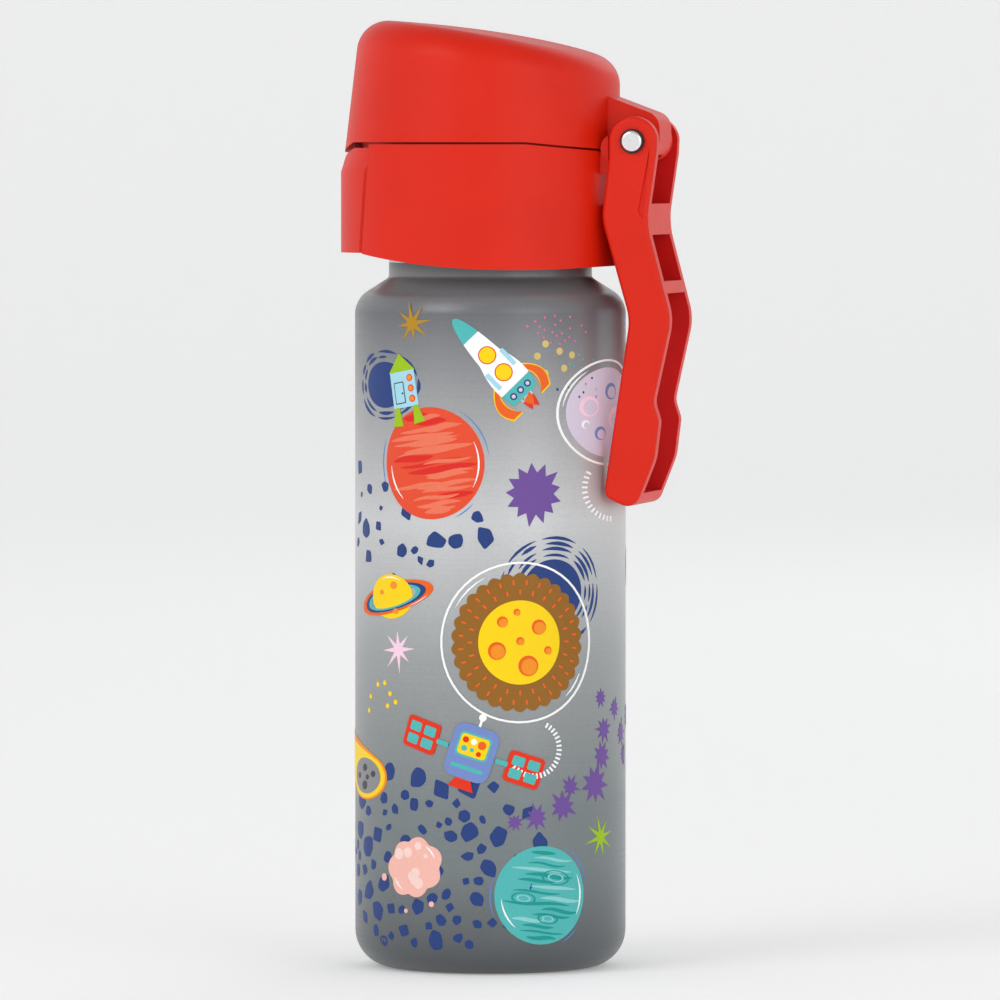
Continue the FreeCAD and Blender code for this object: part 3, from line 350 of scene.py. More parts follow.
def makeSteelBody():
    # one closed wall spun round the axis: foot, side, shoulder, neck and rolled rim, then the thread
    size = bodyShape
    slope = math.radians(size["shoulderSlope"])
    turn = (math.pi / 2 - slope) / 2
    shoulderZ = size["shoulderStart"] + size["shoulderArc"] * math.tan(turn)
    neckZ = shoulderZ + (size["radius"] - size["neck"]) * math.tan(slope)
    lacquerTop = neckZ + size["neckLacquer"]
    wall = size["wall"]
    bead = size["rim"] / 2
    lip = size["neck"] - size["rim"]
    side = size["radius"] - wall
    # corners from the foot ring up the outside and down the inside: radius, height, rounding
    corners = [
        (size["footIn"], 0, 0.3), (size["radius"], 0, size["corner"]),
        (size["radius"], shoulderZ, size["shoulderArc"]), (size["neck"], neckZ, 1.0),
        (size["neck"], lacquerTop, 0), (size["neck"], neckTop, bead), (lip, neckTop, bead),
        (lip, neckTop - size["rimRoll"], 0.6), (size["neck"] - wall, neckTop - size["rimRoot"], 0.8),
        (size["neck"] - wall, neckZ - wall * math.tan(turn), 0.8),
        (side, shoulderZ - wall * math.tan(turn), size["shoulderArc"] - wall),
        (side, wall, size["corner"] - wall), (size["footIn"] + wall, wall, 0.3),
        (size["footIn"] + wall, size["recess"] + wall, 0), (size["footIn"], size["recess"] + wall, 0),
    ]
    bm = bmesh.new()
    points = [bm.verts.new((radius * mm, 0, height * mm)) for radius, height, rounding in corners]
    for a, b in zip(points, points[1:] + points[:1]):
        bm.edges.new((a, b))
    for point, (radius, height, rounding) in zip(points, corners):
        if rounding == 0:
            continue
        ways = [(edge.other_vert(point).co - point.co).normalized() for edge in point.link_edges]
        half = ways[0].angle(ways[1]) / 2
        shortest = min(edge.calc_length() for edge in point.link_edges) / mm
        offset = min(rounding / math.tan(half), 0.98 * shortest)
        bmesh.ops.bevel(bm, geom=[point], offset=offset * mm, offset_type="OFFSET", affect="VERTICES",
                        segments=14 if rounding > 3 else 6, profile=0.5, clamp_overlap=False, material=-1)
    bmesh.ops.spin(bm, geom=bm.verts[:] + bm.edges[:], cent=(0, 0, 0), axis=(0, 0, 1), angle=math.tau,
                   steps=size["segments"], use_merge=True, use_duplicate=False)
    bmesh.ops.remove_doubles(bm, verts=bm.verts, dist=0.001 * mm)
    bmesh.ops.recalc_face_normals(bm, faces=bm.faces)
    for face in bm.faces:
        centre = face.calc_center_median()
        outward = Vector((centre.x, centre.y, 0)).normalized()
        faces = face.normal.dot(outward) > 0.02 or (centre.z < size["corner"] * mm and face.normal.z < -0.02)
        outside = faces and centre.xy.length > (size["footOut"] - 0.5) * mm
        face.material_index = 0 if outside and centre.z < lacquerTop * mm else 1
    before = set(bm.faces)
    threadRidge(bm)
    ridge = [face for face in bm.faces if face not in before]
    bmesh.ops.recalc_face_normals(bm, faces=ridge)
    for face in ridge:
        face.material_index = 1
    piece = meshPiece("steel_body", bm, [bodySteelPaintedSheen, innerSteel], "bottle", limit=28)
    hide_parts("bottle_shell")


makeSteelBody()
print("steel body spun")


# printed pattern: flat ink shapes drawn in mm, laid in layers and wrapped round the body

inkCodes = {
    "navy": "#26407F", "periwinkle": "#768ECB", "skyBlue": "#A8DCEC", "arcBlue": "#5A8CD0", "teal": "#52BAB8",
    "deepTeal": "#0F9A94", "paleTeal": "#8FD4D4", "purple": "#714F9C", "lilac": "#DACFE2", "lime": "#9FC614",
    "yellow": "#FFD700", "amber": "#F7941D", "orange": "#F06418", "flame": "#E63312", "deepRed": "#E1251B",
    "planetRed": "#EA4E2D", "blushRed": "#F0785A", "brown": "#96641F", "bronze": "#B88A1B", "sand": "#D6C078",
    "pink": "#FCD5E8", "hotPink": "#EE6A9E", "rose": "#F9BDB0", "paleRose": "#FDDAD1", "white": "#FFFFFF",
    "rockGrey": "#8D8D90", "darkGrey": "#46434A",
}
printLook = {
    "middle": -78.0,        # degrees round from +X to the middle of the pattern
    "lift": 0.012,          # mm, underside of the ink above the lacquer
    "film": 0.03,           # mm, each layer of ink
    "strip": 1.6,           # mm, widest flat strip, so that the print follows the round body
    "fleck": 0.5,           # mm, uneven cover of the screen print, drawn coarse
    "roughness": 0.42,
    "shine": 0.25,
}
inkMaterials = {}


def screenInk(ink):
    # ultraviolet-cured screen ink: opaque and satin, with a very slightly uneven cover
    if ink not in inkMaterials:
        material, tree, shader, place = newMaterial("screenInk" + ink[0].upper() + ink[1:])
        fleck = addNode(tree, "ShaderNodeTexNoise", {"Scale": 1 / (printLook["fleck"] * mm), "Detail": 3.0},
                        {"Vector": place})
        value = addNode(tree, "ShaderNodeMapRange", {**noiseSpan, "To Min": 0.97, "To Max": 1.04},
                        {"Value": fleck.outputs[0]})
        tint = addNode(tree, "ShaderNodeHueSaturation", {"Color": linearColour(inkCodes[ink])},
                       {"Value": value.outputs[0]})
        tree.links.new(tint.outputs[0], shader.inputs["Base Color"])
        bump = addNode(tree, "ShaderNodeBump", {"Strength": 0.1, "Distance": 0.01 * mm},
                       {"Height": fleck.outputs[0]})
        tree.links.new(bump.outputs[0], shader.inputs["Normal"])
        setShader(shader, {"Roughness": printLook["roughness"], "Specular IOR Level": printLook["shine"]})
        inkMaterials[ink] = material
    return inkMaterials[ink]


def newPrint():
    # a fresh flat drawing, and the inks that it uses
    return {"bm": bmesh.new(), "inks": []}


def at(x, y, turn=0.0, wide=1.0, tall=1.0):
    # a place in the flat drawing: across, up, degrees turned, and stretch
    turned = Matrix.Rotation(math.radians(turn), 4, "Z")
    return Matrix.Translation((x, y, 0)) @ turned @ Matrix.Diagonal((wide, tall, 1, 1))


def around(radius, angle):
    # across and up of a point on a circle
    spot = math.radians(angle)
    return radius * math.cos(spot), radius * math.sin(spot)


def lay(art, verts, ink, layer, place):
    # put fresh flat points in place on a layer, and give their faces the ink
    bmesh.ops.transform(art["bm"], matrix=place, verts=verts)
    for vert in verts:
        vert.co.z = layer
    if ink not in art["inks"]:
        art["inks"].append(ink)
    for face in {face for vert in verts for face in vert.link_faces}:
        face.material_index = art["inks"].index(ink)


def disc(art, ink, layer, place, radius, segments=44):
    made = bmesh.ops.create_circle(art["bm"], cap_ends=True, segments=segments, radius=radius)
    lay(art, made["verts"], ink, layer, place)


def star(art, ink, layer, place, points, outer, inner, uneven=0.0, seed=1):
    # a circle whose every second point is drawn in
    made = bmesh.ops.create_circle(art["bm"], cap_ends=True, segments=2 * points, radius=1.0)
    chance = random.Random(seed)
    for number, vert in enumerate(made["verts"]):
        reach = outer * (1 - uneven * chance.random()) if number % 2 == 0 else inner
        vert.co *= reach
    lay(art, made["verts"], ink, layer, place)


def lobed(art, ink, layer, place, radius, lobes, depth, lean=0.0):
    # a disc whose edge is scalloped into lobes; lean makes one side larger
    made = bmesh.ops.create_circle(art["bm"], cap_ends=True, segments=10 * lobes, radius=1.0)
    for vert in made["verts"]:
        angle = math.atan2(vert.co.y, vert.co.x)
        scallop = 1 - depth * (1 - abs(math.sin(lobes * angle / 2)))
        vert.co *= radius * scallop * (1 + lean * math.sin(2 * angle + 0.7))
    lay(art, made["verts"], ink, layer, place)


def teardrop(art, ink, layer, place, radius, tail):
    # a disc drawn out to a tail on its upper side
    made = bmesh.ops.create_circle(art["bm"], cap_ends=True, segments=72, radius=1.0)
    for vert in made["verts"]:
        rise = max(vert.co.y, 0)
        up = min(vert.co.y, 0) + rise * tail
        vert.co = Vector((radius * vert.co.x * (1 - 0.3 * rise), radius * up, 0))
    lay(art, made["verts"], ink, layer, place)


def band(art, ink, layer, place, radius, width, start=0.0, sweep=360.0, taper=False):
    # a ring or an arc; a tapered arc runs to a point at both ends
    bm = art["bm"]
    ends = [bm.verts.new((radius - width / 2, 0, 0)), bm.verts.new((radius + width / 2, 0, 0))]
    edge = bm.edges.new(ends)
    bmesh.ops.rotate(bm, verts=ends, cent=(0, 0, 0), matrix=Matrix.Rotation(math.radians(start), 3, "Z"))
    before = set(bm.verts) - set(ends)
    bmesh.ops.spin(bm, geom=ends + [edge], cent=(0, 0, 0), axis=(0, 0, 1), angle=math.radians(sweep),
                   steps=max(3, int(sweep / 7)), use_merge=sweep >= 360, use_duplicate=False)
    made = [vert for vert in bm.verts if vert not in before]
    if taper:
        for vert in made:
            share = (math.degrees(math.atan2(vert.co.y, vert.co.x)) - start) % 360 / sweep
            away = vert.co.length - radius
            swell = 0.15 + 0.85 * math.sin(math.pi * min(max(share, 0), 1))
            vert.co *= (radius + away * swell) / vert.co.length
    lay(art, made, ink, layer, place)


def patch(art, ink, layer, place, wide, tall, corner=0.0):
    # a rectangle with rounded corners
    bm = art["bm"]
    before = set(bm.verts)
    made = bmesh.ops.create_grid(bm, x_segments=1, y_segments=1, size=0.5)
    bmesh.ops.scale(bm, vec=(wide, tall, 1), verts=made["verts"])
    if corner > 0:
        bmesh.ops.bevel(bm, geom=made["verts"], offset=corner, offset_type="OFFSET", affect="VERTICES",
                        segments=5, profile=0.5, clamp_overlap=True, material=-1)
    lay(art, [vert for vert in bm.verts if vert not in before], ink, layer, place)


def blade(art, ink, layer, place, length, halfWidth, rows=14, bend=None):
    # a strip along Y whose half width, and sideways bend, follow a rule of the share of its length
    made = bmesh.ops.create_grid(art["bm"], x_segments=1, y_segments=rows, size=1.0)
    for vert in made["verts"]:
        share = (vert.co.y + 1) / 2
        side = 1 if vert.co.x > 0 else -1
        middle = bend(share) if bend else 0.0
        vert.co = Vector((middle + side * max(halfWidth(share), 0.001), share * length, 0))
    lay(art, made["verts"], ink, layer, place)


def pebble(art, ink, layer, place, radius, chance):
    # an uneven chip with rounded corners
    bm = art["bm"]
    before = set(bm.verts)
    made = bmesh.ops.create_circle(bm, cap_ends=True, segments=chance.randint(4, 7), radius=radius)
    for vert in made["verts"]:
        vert.co *= chance.uniform(0.72, 1.25)
    bmesh.ops.bevel(bm, geom=made["verts"], offset=radius * 0.26, offset_type="OFFSET", affect="VERTICES",
                    segments=3, profile=0.5, clamp_overlap=True, material=-1)
    lay(art, [vert for vert in bm.verts if vert not in before], ink, layer, place)


def wrapPrint(art, name):
    # cut the flat drawing into narrow strips, give each layer its thickness, and wrap it round the body
    bm = art["bm"]
    bmesh.ops.triangulate(bm, faces=bm.faces[:])
    lowest = min(vert.co.x for vert in bm.verts)
    highest = max(vert.co.x for vert in bm.verts)
    cuts = int((highest - lowest) / printLook["strip"])
    for number in range(1, cuts + 1):
        plane = lowest + number * (highest - lowest) / (cuts + 1)
        bmesh.ops.bisect_plane(bm, geom=bm.verts[:] + bm.edges[:] + bm.faces[:], dist=0.0001,
                               plane_co=(plane, 0, 0), plane_no=(1, 0, 0))
    bmesh.ops.remove_doubles(bm, verts=bm.verts, dist=0.0001)
    bmesh.ops.recalc_face_normals(bm, faces=bm.faces)
    tops = bmesh.ops.extrude_face_region(bm, geom=bm.faces[:], use_keep_orig=True)["geom"]
    raised = {item for item in tops if isinstance(item, bmesh.types.BMVert)}
    for vert in bm.verts:
        film = (vert.co.z + 1) * printLook["film"] if vert in raised else 0.0
        height = vert.co.y
        reach = (wallRadius(height) + printLook["lift"] + film) * mm
        angle = math.radians(printLook["middle"]) + vert.co.x / bodyShape["radius"]
        vert.co = Vector((reach * math.cos(angle), reach * math.sin(angle), height * mm))
    bmesh.ops.recalc_face_normals(bm, faces=bm.faces)
    return meshPiece(name, bm, [screenInk(ink) for ink in art["inks"]], "bottle")


# across and up in mm, size, degrees turned, ink
loneStars = [
    (-19.8, 154.9, 5.8, 10, "bronze"), (-24.0, 77.3, 6.2, 4, "pink"), (30.5, 32.3, 5.8, 14, "lime"),
    (62, 152, 5.6, 30, "bronze"), (66, 74, 5.8, 12, "pink"), (-66, 118, 5.6, 20, "lime"),
    (-92, 26, 5.6, 40, "bronze"), (56, 20, 5.6, 8, "pink"),
]
# across and up in mm, size, degrees turned
starTrail = [
    (30.6, 65.6, 2.9, 0), (37.2, 62.8, 3.2, 20), (32.0, 58.0, 3.8, 8), (41.8, 56.8, 3.6, 30),
    (31.1, 51.7, 4.4, 15), (44, 51.4, 3.0, 5), (28.4, 45.1, 6.0, 24), (20.3, 44.8, 3.3, 12),
    (18.1, 40.2, 4.7, 3), (11.2, 37.8, 3.8, 18), (5.8, 36.7, 2.6, 9), (49, 60.5, 3.4, 12),
    (56, 63.5, 3.0, 25), (62, 67.5, 3.6, 4), (68, 65, 2.6, 16),
]
bursts = [(10.5, 114.7, 8.1, 5), (-68, 102, 7.4, 20), (53, 96, 5.8, 32)]


def makeStars():
    # ragged stars of eight, nine and thirteen points
    art = newPrint()
    for x, y, size, turn, ink in loneStars:
        star(art, ink, 1, at(x, y, turn), 8, size, size * 0.24, 0.35, int(abs(x) * 7))
    for x, y, size, turn in starTrail:
        star(art, "purple", 1, at(x, y, turn), 9, size, size * 0.42, 0.35, int(y * 3))
    for x, y, size, turn in bursts:
        star(art, "purple", 1, at(x, y, turn), 13, size, size * 0.62, 0.16, 5)
    wrapPrint(art, "print_stars")


# ink, count, middle across and up, half width and half height of the cloud, radius of a dot
dotClouds = [
    ("hotPink", 22, 16.8, 153.6, 8.5, 3.6, 0.28), ("sand", 8, 16.0, 146.8, 4.8, 4.4, 0.88),
    ("teal", 7, 24.5, 146.0, 5.0, 2.6, 0.28), ("navy", 8, 25.0, 139.6, 8.5, 3.0, 0.32),
    ("yellow", 7, -31.0, 65.0, 6.4, 5.0, 0.62), ("hotPink", 18, 78, 141, 9, 4, 0.28),
    ("yellow", 7, 66, 38, 5, 4, 0.62), ("sand", 8, -84, 146, 6, 4.6, 0.88), ("teal", 10, -70, 84, 7, 4, 0.28),
]


def makeDots():
    # clouds of dots that keep clear of each other
    art = newPrint()
    chance = random.Random(11)
    for ink, count, x, y, wide, tall, radius in dotClouds:
        placed = []
        tries = 0
        while len(placed) < count and tries < 400:
            tries += 1
            across, up = around(math.sqrt(chance.random()), chance.uniform(0, 360))
            spot = Vector((x + wide * across, y + tall * up, 0))
            if all((spot - other).length > 3.2 * radius + 0.5 for other in placed):
                placed.append(spot)
        for spot in placed:
            disc(art, ink, 1, at(spot.x, spot.y), radius, 14)
    wrapPrint(art, "print_dots")


# middle across and up, radius of the disc, outer radius, stretch across
swirls = [(-28.7, 140.2, 5.5, 9.4, 1.35), (15.6, 91.4, 7.6, 13.6, 1.05), (98, 108, 7.0, 12.4, 1.0),
          (-64, 30, 7.2, 12.6, 1.0)]
ringStep = 1.35             # mm from one ring of strokes to the next


def makeSwirls():
    # dark discs inside broken rings of brush strokes
    art = newPrint()
    chance = random.Random(4)
    for x, y, radius, outer, wide in swirls:
        disc(art, "navy", 0, at(x, y, 0, wide), radius, 60)
        reach = radius + 1.2
        while reach < outer:
            start = chance.uniform(0, 360)
            covered = 0
            while covered < 330:
                sweep = chance.uniform(18, 46)
                band(art, "navy", 0, at(x, y, 0, wide), reach + chance.uniform(-0.15, 0.15),
                     chance.uniform(0.6, 1.0), (start + covered) % 360, sweep, True)
                covered += sweep + chance.uniform(3, 12)
            reach += ringStep
    wrapPrint(art, "print_swirls")


# middle across and up, half width and half height, count, smallest and largest radius
rockFields = [
    (-25, 109, 26, 15, 28, 0.8, 2.9), (-17, 28, 30, 23, 80, 1.1, 3.2), (-84, 64, 16, 14, 26, 0.6, 2.2),
    (78, 72, 12, 20, 22, 0.6, 2.0), (98, 18, 18, 11, 30, 0.7, 2.4),
]
lowestRock = 4.5            # mm up, clear of the round foot


def makeRocks():
    # fields of loose chips
    art = newPrint()
    chance = random.Random(23)
    for x, y, wide, tall, count, small, large in rockFields:
        placed = []
        tries = 0
        while len(placed) < count and tries < 4000:
            tries += 1
            across, up = around(math.sqrt(chance.random()), chance.uniform(0, 360))
            spot = (x + wide * across, y + tall * up)
            size = small + (large - small) * chance.random() ** 1.2
            if spot[1] < lowestRock + size:
                continue
            if all(math.hypot(spot[0] - a, spot[1] - b) > size + c + 0.3 for a, b, c in placed):
                placed.append((spot[0], spot[1], size))
        for a, b, size in placed:
            place = at(a, b, chance.uniform(0, 360), 1.0, chance.uniform(0.75, 1.1))
            pebble(art, "navy", 0, place, size, chance)
    wrapPrint(art, "print_rocks")


def strokes(art, inks, layer, x, y, radius, turn, count, seed, thick):
    # brush strokes across a planet, each kept inside its disc
    chance = random.Random(seed)
    for number in range(count):
        level = radius * (1.84 * (number + 0.5) / count - 0.92)
        reach = math.sqrt(radius ** 2 - level ** 2)
        length = reach * chance.uniform(0.8, 1.6)
        middle = chance.uniform(-1, 1) * (reach * 0.94 - length / 2)
        wave = chance.uniform(-0.6, 0.6)
        half = thick * chance.uniform(0.5, 1.0)
        place = at(x, y, turn) @ at(middle + length / 2, level, 90)
        blade(art, chance.choice(inks), layer, place, length,
              lambda t: half * math.sin(math.pi * t) ** 0.6 + 0.04, 18,
              lambda t: wave * math.sin(math.tau * t) * 0.5)


def glints(art, layer, x, y, radius):
    # white highlights near the rim of a planet, and blue arcs just outside it
    for reach, start, sweep in ((0.9, -28, 54), (0.86, 184, 44)):
        band(art, "white", layer, at(x, y), radius * reach, 0.42, start, sweep, True)
    for reach, start, sweep in ((1.09, 8, 52), (1.09, 158, 46), (1.07, -64, 22)):
        band(art, "arcBlue", 0, at(x, y), radius * reach, 0.34, start, sweep, True)


# middle across and up, radius, seed of the strokes
redPlanets = [(-14.7, 121.8, 13.3, 3), (-84, 96, 10, 8)]
tealPlanets = [(12.6, 19.2, 11.7, 5), (86, 30, 10.5, 6)]


def makeRedPlanets():
    art = newPrint()
    for x, y, radius, seed in redPlanets:
        disc(art, "planetRed", 1, at(x, y), radius, 84)
        strokes(art, ["deepRed", "deepRed", "blushRed"], 2, x, y, radius, 8, 15, seed, radius * 0.06)
        strokes(art, ["blushRed"], 2.5, x, y, radius, 9, 9, seed + 40, radius * 0.045)
        glints(art, 4, x, y, radius)
    wrapPrint(art, "print_red_planets")


def makeTealPlanets():
    art = newPrint()
    for x, y, radius, seed in tealPlanets:
        disc(art, "teal", 1, at(x, y), radius, 84)
        strokes(art, ["deepTeal", "paleTeal"], 2, x, y, radius, -6, 16, seed, radius * 0.04)
        for spot, level, size in ((0.3, 0.35, 0.2), (-0.4, -0.05, 0.16), (0.12, -0.48, 0.14)):
            place = at(x + spot * radius, y + level * radius, -8, 1.5, 0.7)
            band(art, "deepTeal", 3, place, size * radius, 0.34)
            band(art, "paleTeal", 3, place, size * radius * 0.55, 0.3)
        glints(art, 4, x, y, radius)
    wrapPrint(art, "print_teal_planets")


# across and up, degrees turned
landers = [(-21.5, 135.2, 10), (-86, 108.5, -8)]
rockets = [(8.4, 138.0, 44), (-76, 34, 12)]
rocketShape = {"length": 25.0, "halfWidth": 4.7, "tail": 3.6, "nose": 6.2}      # mm


def makeLanders():
    # a plain cabin on two legs
    art = newPrint()
    for x, y, turn in landers:
        place = at(x, y, turn)
        for foot, lean in ((-2.6, 174), (2.8, 186)):
            blade(art, "lime", 5, place @ at(foot, 0, lean), 4.4, lambda t: 0.55 + 1.0 * t, 2)
        patch(art, "skyBlue", 5, place @ at(0, 4.2), 7.4, 8.8, 0.2)
        blade(art, "lime", 6, place @ at(0, 8.4), 4.2, lambda t: 4.0 * (1 - t), 2)
        patch(art, "darkGrey", 6, place @ at(-1.3, 3.4), 3.1, 5.2, 0.2)
        patch(art, "skyBlue", 7, place @ at(-1.3, 3.4), 2.6, 4.7, 0.15)
        disc(art, "darkGrey", 8, place @ at(-0.4, 3.2), 0.26, 12)
        for level in (1.6, 4.1, 6.6):
            disc(art, "flame", 6, place @ at(2.2, level), 0.85, 22)
            disc(art, "amber", 7, place @ at(2.2, level), 0.6, 22)
    wrapPrint(art, "print_landers")


def rocketHull(t):
    # half width at a share of the length: narrow at the tail, full at the middle, pointed at the nose
    taper = math.sqrt(max(1 - t ** 1.9, 0))
    return rocketShape["halfWidth"] * taper * (0.78 + 0.22 * math.sin(math.pi * min(t * 2, 1)))


def makeRockets():
    art = newPrint()
    length, tail, nose = rocketShape["length"], rocketShape["tail"], rocketShape["nose"]
    for x, y, turn in rockets:
        place = at(x, y, turn)
        for side in (-1, 1):
            for ink, layer, grow in (("yellow", 3, 0.6), ("orange", 4, 0.0)):
                blade(art, ink, layer, place @ at(side * 3.4, -2.2 - grow * 0.6), 8.4 + grow,
                      lambda t: 1.35 + grow * 0.4 - 0.75 * t, 16,
                      lambda t: side * 2.9 * math.sin(math.pi * (0.12 + 0.88 * t)) ** 0.8)
        for lean, ink, tall in ((-14, "flame", 4.2), (12, "flame", 4.6), (0, "orange", 3.4)):
            blade(art, ink, 3 if ink == "flame" else 4, place @ at(0, 0.4, 180 + lean), tall,
                  lambda t: 1.3 * math.sin(math.pi * (0.35 + 0.65 * t)) + 0.02, 10)
        patch(art, "skyBlue", 4, place @ at(0, -0.2), 3.4, 1.4, 0.3)
        blade(art, "white", 5, place, length, rocketHull, 32)
        blade(art, "teal", 6, place, tail, lambda t: rocketHull(t * tail / length) + 0.02, 8)
        blade(art, "teal", 6, place @ at(0, length - nose), nose,
              lambda t: rocketHull((length - nose + nose * t) / length) + 0.02, 14)
        for spot in (-2.3, 0, 2.3):
            disc(art, "navy", 7, place @ at(spot, 1.8), 0.85, 20)
            disc(art, "lilac", 8, place @ at(spot, 1.8), 0.48, 20)
        for level in (7.6, 13.2):
            disc(art, "flame", 6, place @ at(0, level), 2.15, 40)
            disc(art, "yellow", 7, place @ at(0, level), 1.9, 40)
        for side in (-1, 1):
            patch(art, "skyBlue", 6, place @ at(side * 3.3, 8.6 + side), 1.1, 4.8, 0.15)
    wrapPrint(art, "print_rockets")


# middle across and up, radius, stretch across
moons = [(33.4, 133.6, 12.4, 1.36), (-66, 134, 10.5, 1.0)]
# across, up and radius as shares of the moon's radius, and ink
moonCraters = [
    (-0.42, 0.12, 0.2, "pink"), (0.1, 0.4, 0.16, "periwinkle"), (0.25, -0.12, 0.22, "pink"),
    (-0.18, -0.4, 0.13, "periwinkle"), (0.42, -0.48, 0.1, "pink"), (-0.5, -0.22, 0.08, "white"),
]


def makeMoons():
    # a pale cratered moon inside a thin white orbit
    art = newPrint()
    for x, y, radius, wide in moons:
        moon = at(x, y, 0, wide)
        disc(art, "lilac", 1, moon, radius * 0.86, 76)
        band(art, "white", 3, moon, radius, 0.5)
        band(art, "white", 3, moon, radius * 0.92, 0.42, 122, 50, True)
        for spot, level, size, ink in moonCraters:
            disc(art, ink, 2, moon @ at(spot * radius, level * radius), size * radius, 34)
            disc(art, "lilac", 3, moon @ at((spot + 0.02) * radius, (level - 0.02) * radius),
                 size * radius * 0.72, 34)
    wrapPrint(art, "print_moons")


# middle across and up, degrees turned, size, stretch across
ringedPlanets = [(-26.4, 89.6, 18, 1.0, 1.32), (70, 92, -16, 1.1, 1.0), (-98, 128, 14, 1.1, 1.0)]
rings = [(9.1, 1.5, "orange"), (7.7, 1.1, "navy"), (6.6, 1.1, "teal")]     # radius and width in mm, ink


def makeRingedPlanets():
    # a yellow planet between the rear and front halves of its rings
    art = newPrint()
    for x, y, turn, size, wide in ringedPlanets:
        place = at(x, y, 0, wide) @ at(0, 0, turn, size, size)
        back = place @ at(0, 0, 0, 1.0, 0.36)
        for radius, width, ink in rings:
            band(art, ink, 2, back, radius, width)
            band(art, ink, 4, back, radius, width, 184, 172)
        disc(art, "yellow", 3, place @ at(0, 0.3), 5.3, 48)
        band(art, "white", 5, place @ at(0, 0.3), 4.6, 0.3, 40, 60, True)
        band(art, "white", 5, back, 9.3, 0.35, 290, 40, True)
        for spot, level, radius in ((1.6, 2.6, 0.9), (-2.0, 1.9, 0.6), (0.2, -3.4, 0.7)):
            disc(art, "amber", 4, place @ at(spot, level), radius, 20)
    wrapPrint(art, "print_ringed_planets")


suns = [(7.1, 79.4, 16.4), (100, 66, 12.5)]     # middle across and up, radius
# across, up and radius, as shares of the sun's radius
sunSpots = [
    (0.28, 0.22, 0.11), (-0.26, 0.3, 0.08), (-0.34, -0.12, 0.13), (0.12, -0.34, 0.15), (0.0, 0.02, 0.06),
    (0.42, -0.12, 0.06), (-0.05, 0.44, 0.05),
]


def makeSuns():
    # a big scalloped sun with short rays round a cratered yellow disc, in a thin white orbit
    art = newPrint()
    for x, y, radius in suns:
        lobed(art, "brown", 2, at(x, y), radius * 1.01, 30, 0.055)
        for ring, count in ((0.73, 24), (0.87, 28)):
            for number in range(count):
                angle = 360 * (number + 0.5 * (ring > 0.8)) / count
                across, up = around(radius * ring, angle)
                patch(art, "orange", 3, at(x + across, y + up, angle), radius * 0.075, radius * 0.028,
                      radius * 0.012)
        disc(art, "yellow", 4, at(x, y), radius * 0.61, 64)
        for spot, level, size in sunSpots:
            disc(art, "orange", 5, at(x + spot * radius, y + level * radius), size * radius, 30)
            disc(art, "amber", 6, at(x + (spot + 0.012) * radius, y + (level - 0.015) * radius),
                 size * radius * 0.78, 30)
        band(art, "white", 7, at(x, y), radius * 1.155, 0.5)
        band(art, "white", 7, at(x, y), radius * 1.07, 0.4, 118, 34, True)
        band(art, "white", 7, at(x, y), radius * 1.07, 0.4, -48, 22, True)
    wrapPrint(art, "print_suns")


satellites = [(-4.5, 53.2, -18, 1.0), (70, 122, 24, 0.8)]     # across and up, degrees turned, size
# across and up on the satellite's panel, ink, radius
panelDots = [
    (-2.2, 2.7, "flame", 0.75), (-0.2, 2.7, "white", 0.7), (1.9, 2.4, "orange", 1.0),
    (-2.0, 0.6, "teal", 0.7), (-0.1, 0.7, "teal", 0.5), (1.7, 0.2, "flame", 0.6),
]
# dashed tethers: middle across and up, radius, start and sweep in degrees, stretch across
tethers = [(10.6, 54.0, 6.4, -140, 210, 1.0), (34.6, 115.6, 7.4, 150, 130, 1.36)]


def makeSatellites():
    art = newPrint()
    for x, y, turn, size in satellites:
        place = at(x, y, turn, size, size)
        for side in (-1, 1):
            patch(art, "teal", 8, place @ at(side * 7.4, 0), 3.0, 1.2, 0.3)
            patch(art, "flame", 8, place @ at(side * 13.2, 0), 9.0, 7.6, 1.0)
            for column in (-1, 1):
                for row in (-1, 1):
                    patch(art, "teal", 9, place @ at(side * 13.2 + column * 1.95, row * 1.55), 3.0, 2.3, 0.4)
        patch(art, "periwinkle", 9, place, 11.0, 13.0, 2.6)
        patch(art, "teal", 10, place @ at(0, 1.6), 8.0, 6.0, 1.2)
        patch(art, "yellow", 11, place @ at(0, 1.6), 7.0, 5.0, 0.9)
        for column, row, ink, radius in panelDots:
            disc(art, ink, 12, place @ at(column, row), radius, 20)
        blade(art, "flame", 8, place @ at(0, -6.0, 180), 3.0, lambda t: 1.6 + 1.6 * t, 4)
        patch(art, "teal", 10, place @ at(0, -3.8), 8.0, 1.0, 0.4)
        patch(art, "white", 8, place @ at(0, 7.2), 0.6, 2.6, 0.2)
        disc(art, "white", 8, place @ at(0, 8.8), 0.9, 20)
    for x, y, radius, start, sweep, wide in tethers:
        count = int(sweep / 9)
        for number in range(count):
            angle = start + sweep * number / count
            across, up = around(radius, angle)
            patch(art, "white", 8, at(x, y, 0, wide) @ at(across, up, angle), 1.3, 0.46, 0.12)
    wrapPrint(art, "print_satellites")


# middle across and up, degrees turned, radius, stretch across
meteors = [(-37.6, 46.6, 48, 4.6, 1.7), (90, 150, -130, 4.4, 1.0)]
# across, up and radius, as shares of the meteor's radius
meteorCraters = [
    (0.3, 0.3, 0.2), (-0.35, 0.35, 0.16), (0.05, -0.15, 0.14), (0.45, -0.3, 0.17), (-0.4, -0.3, 0.24),
]


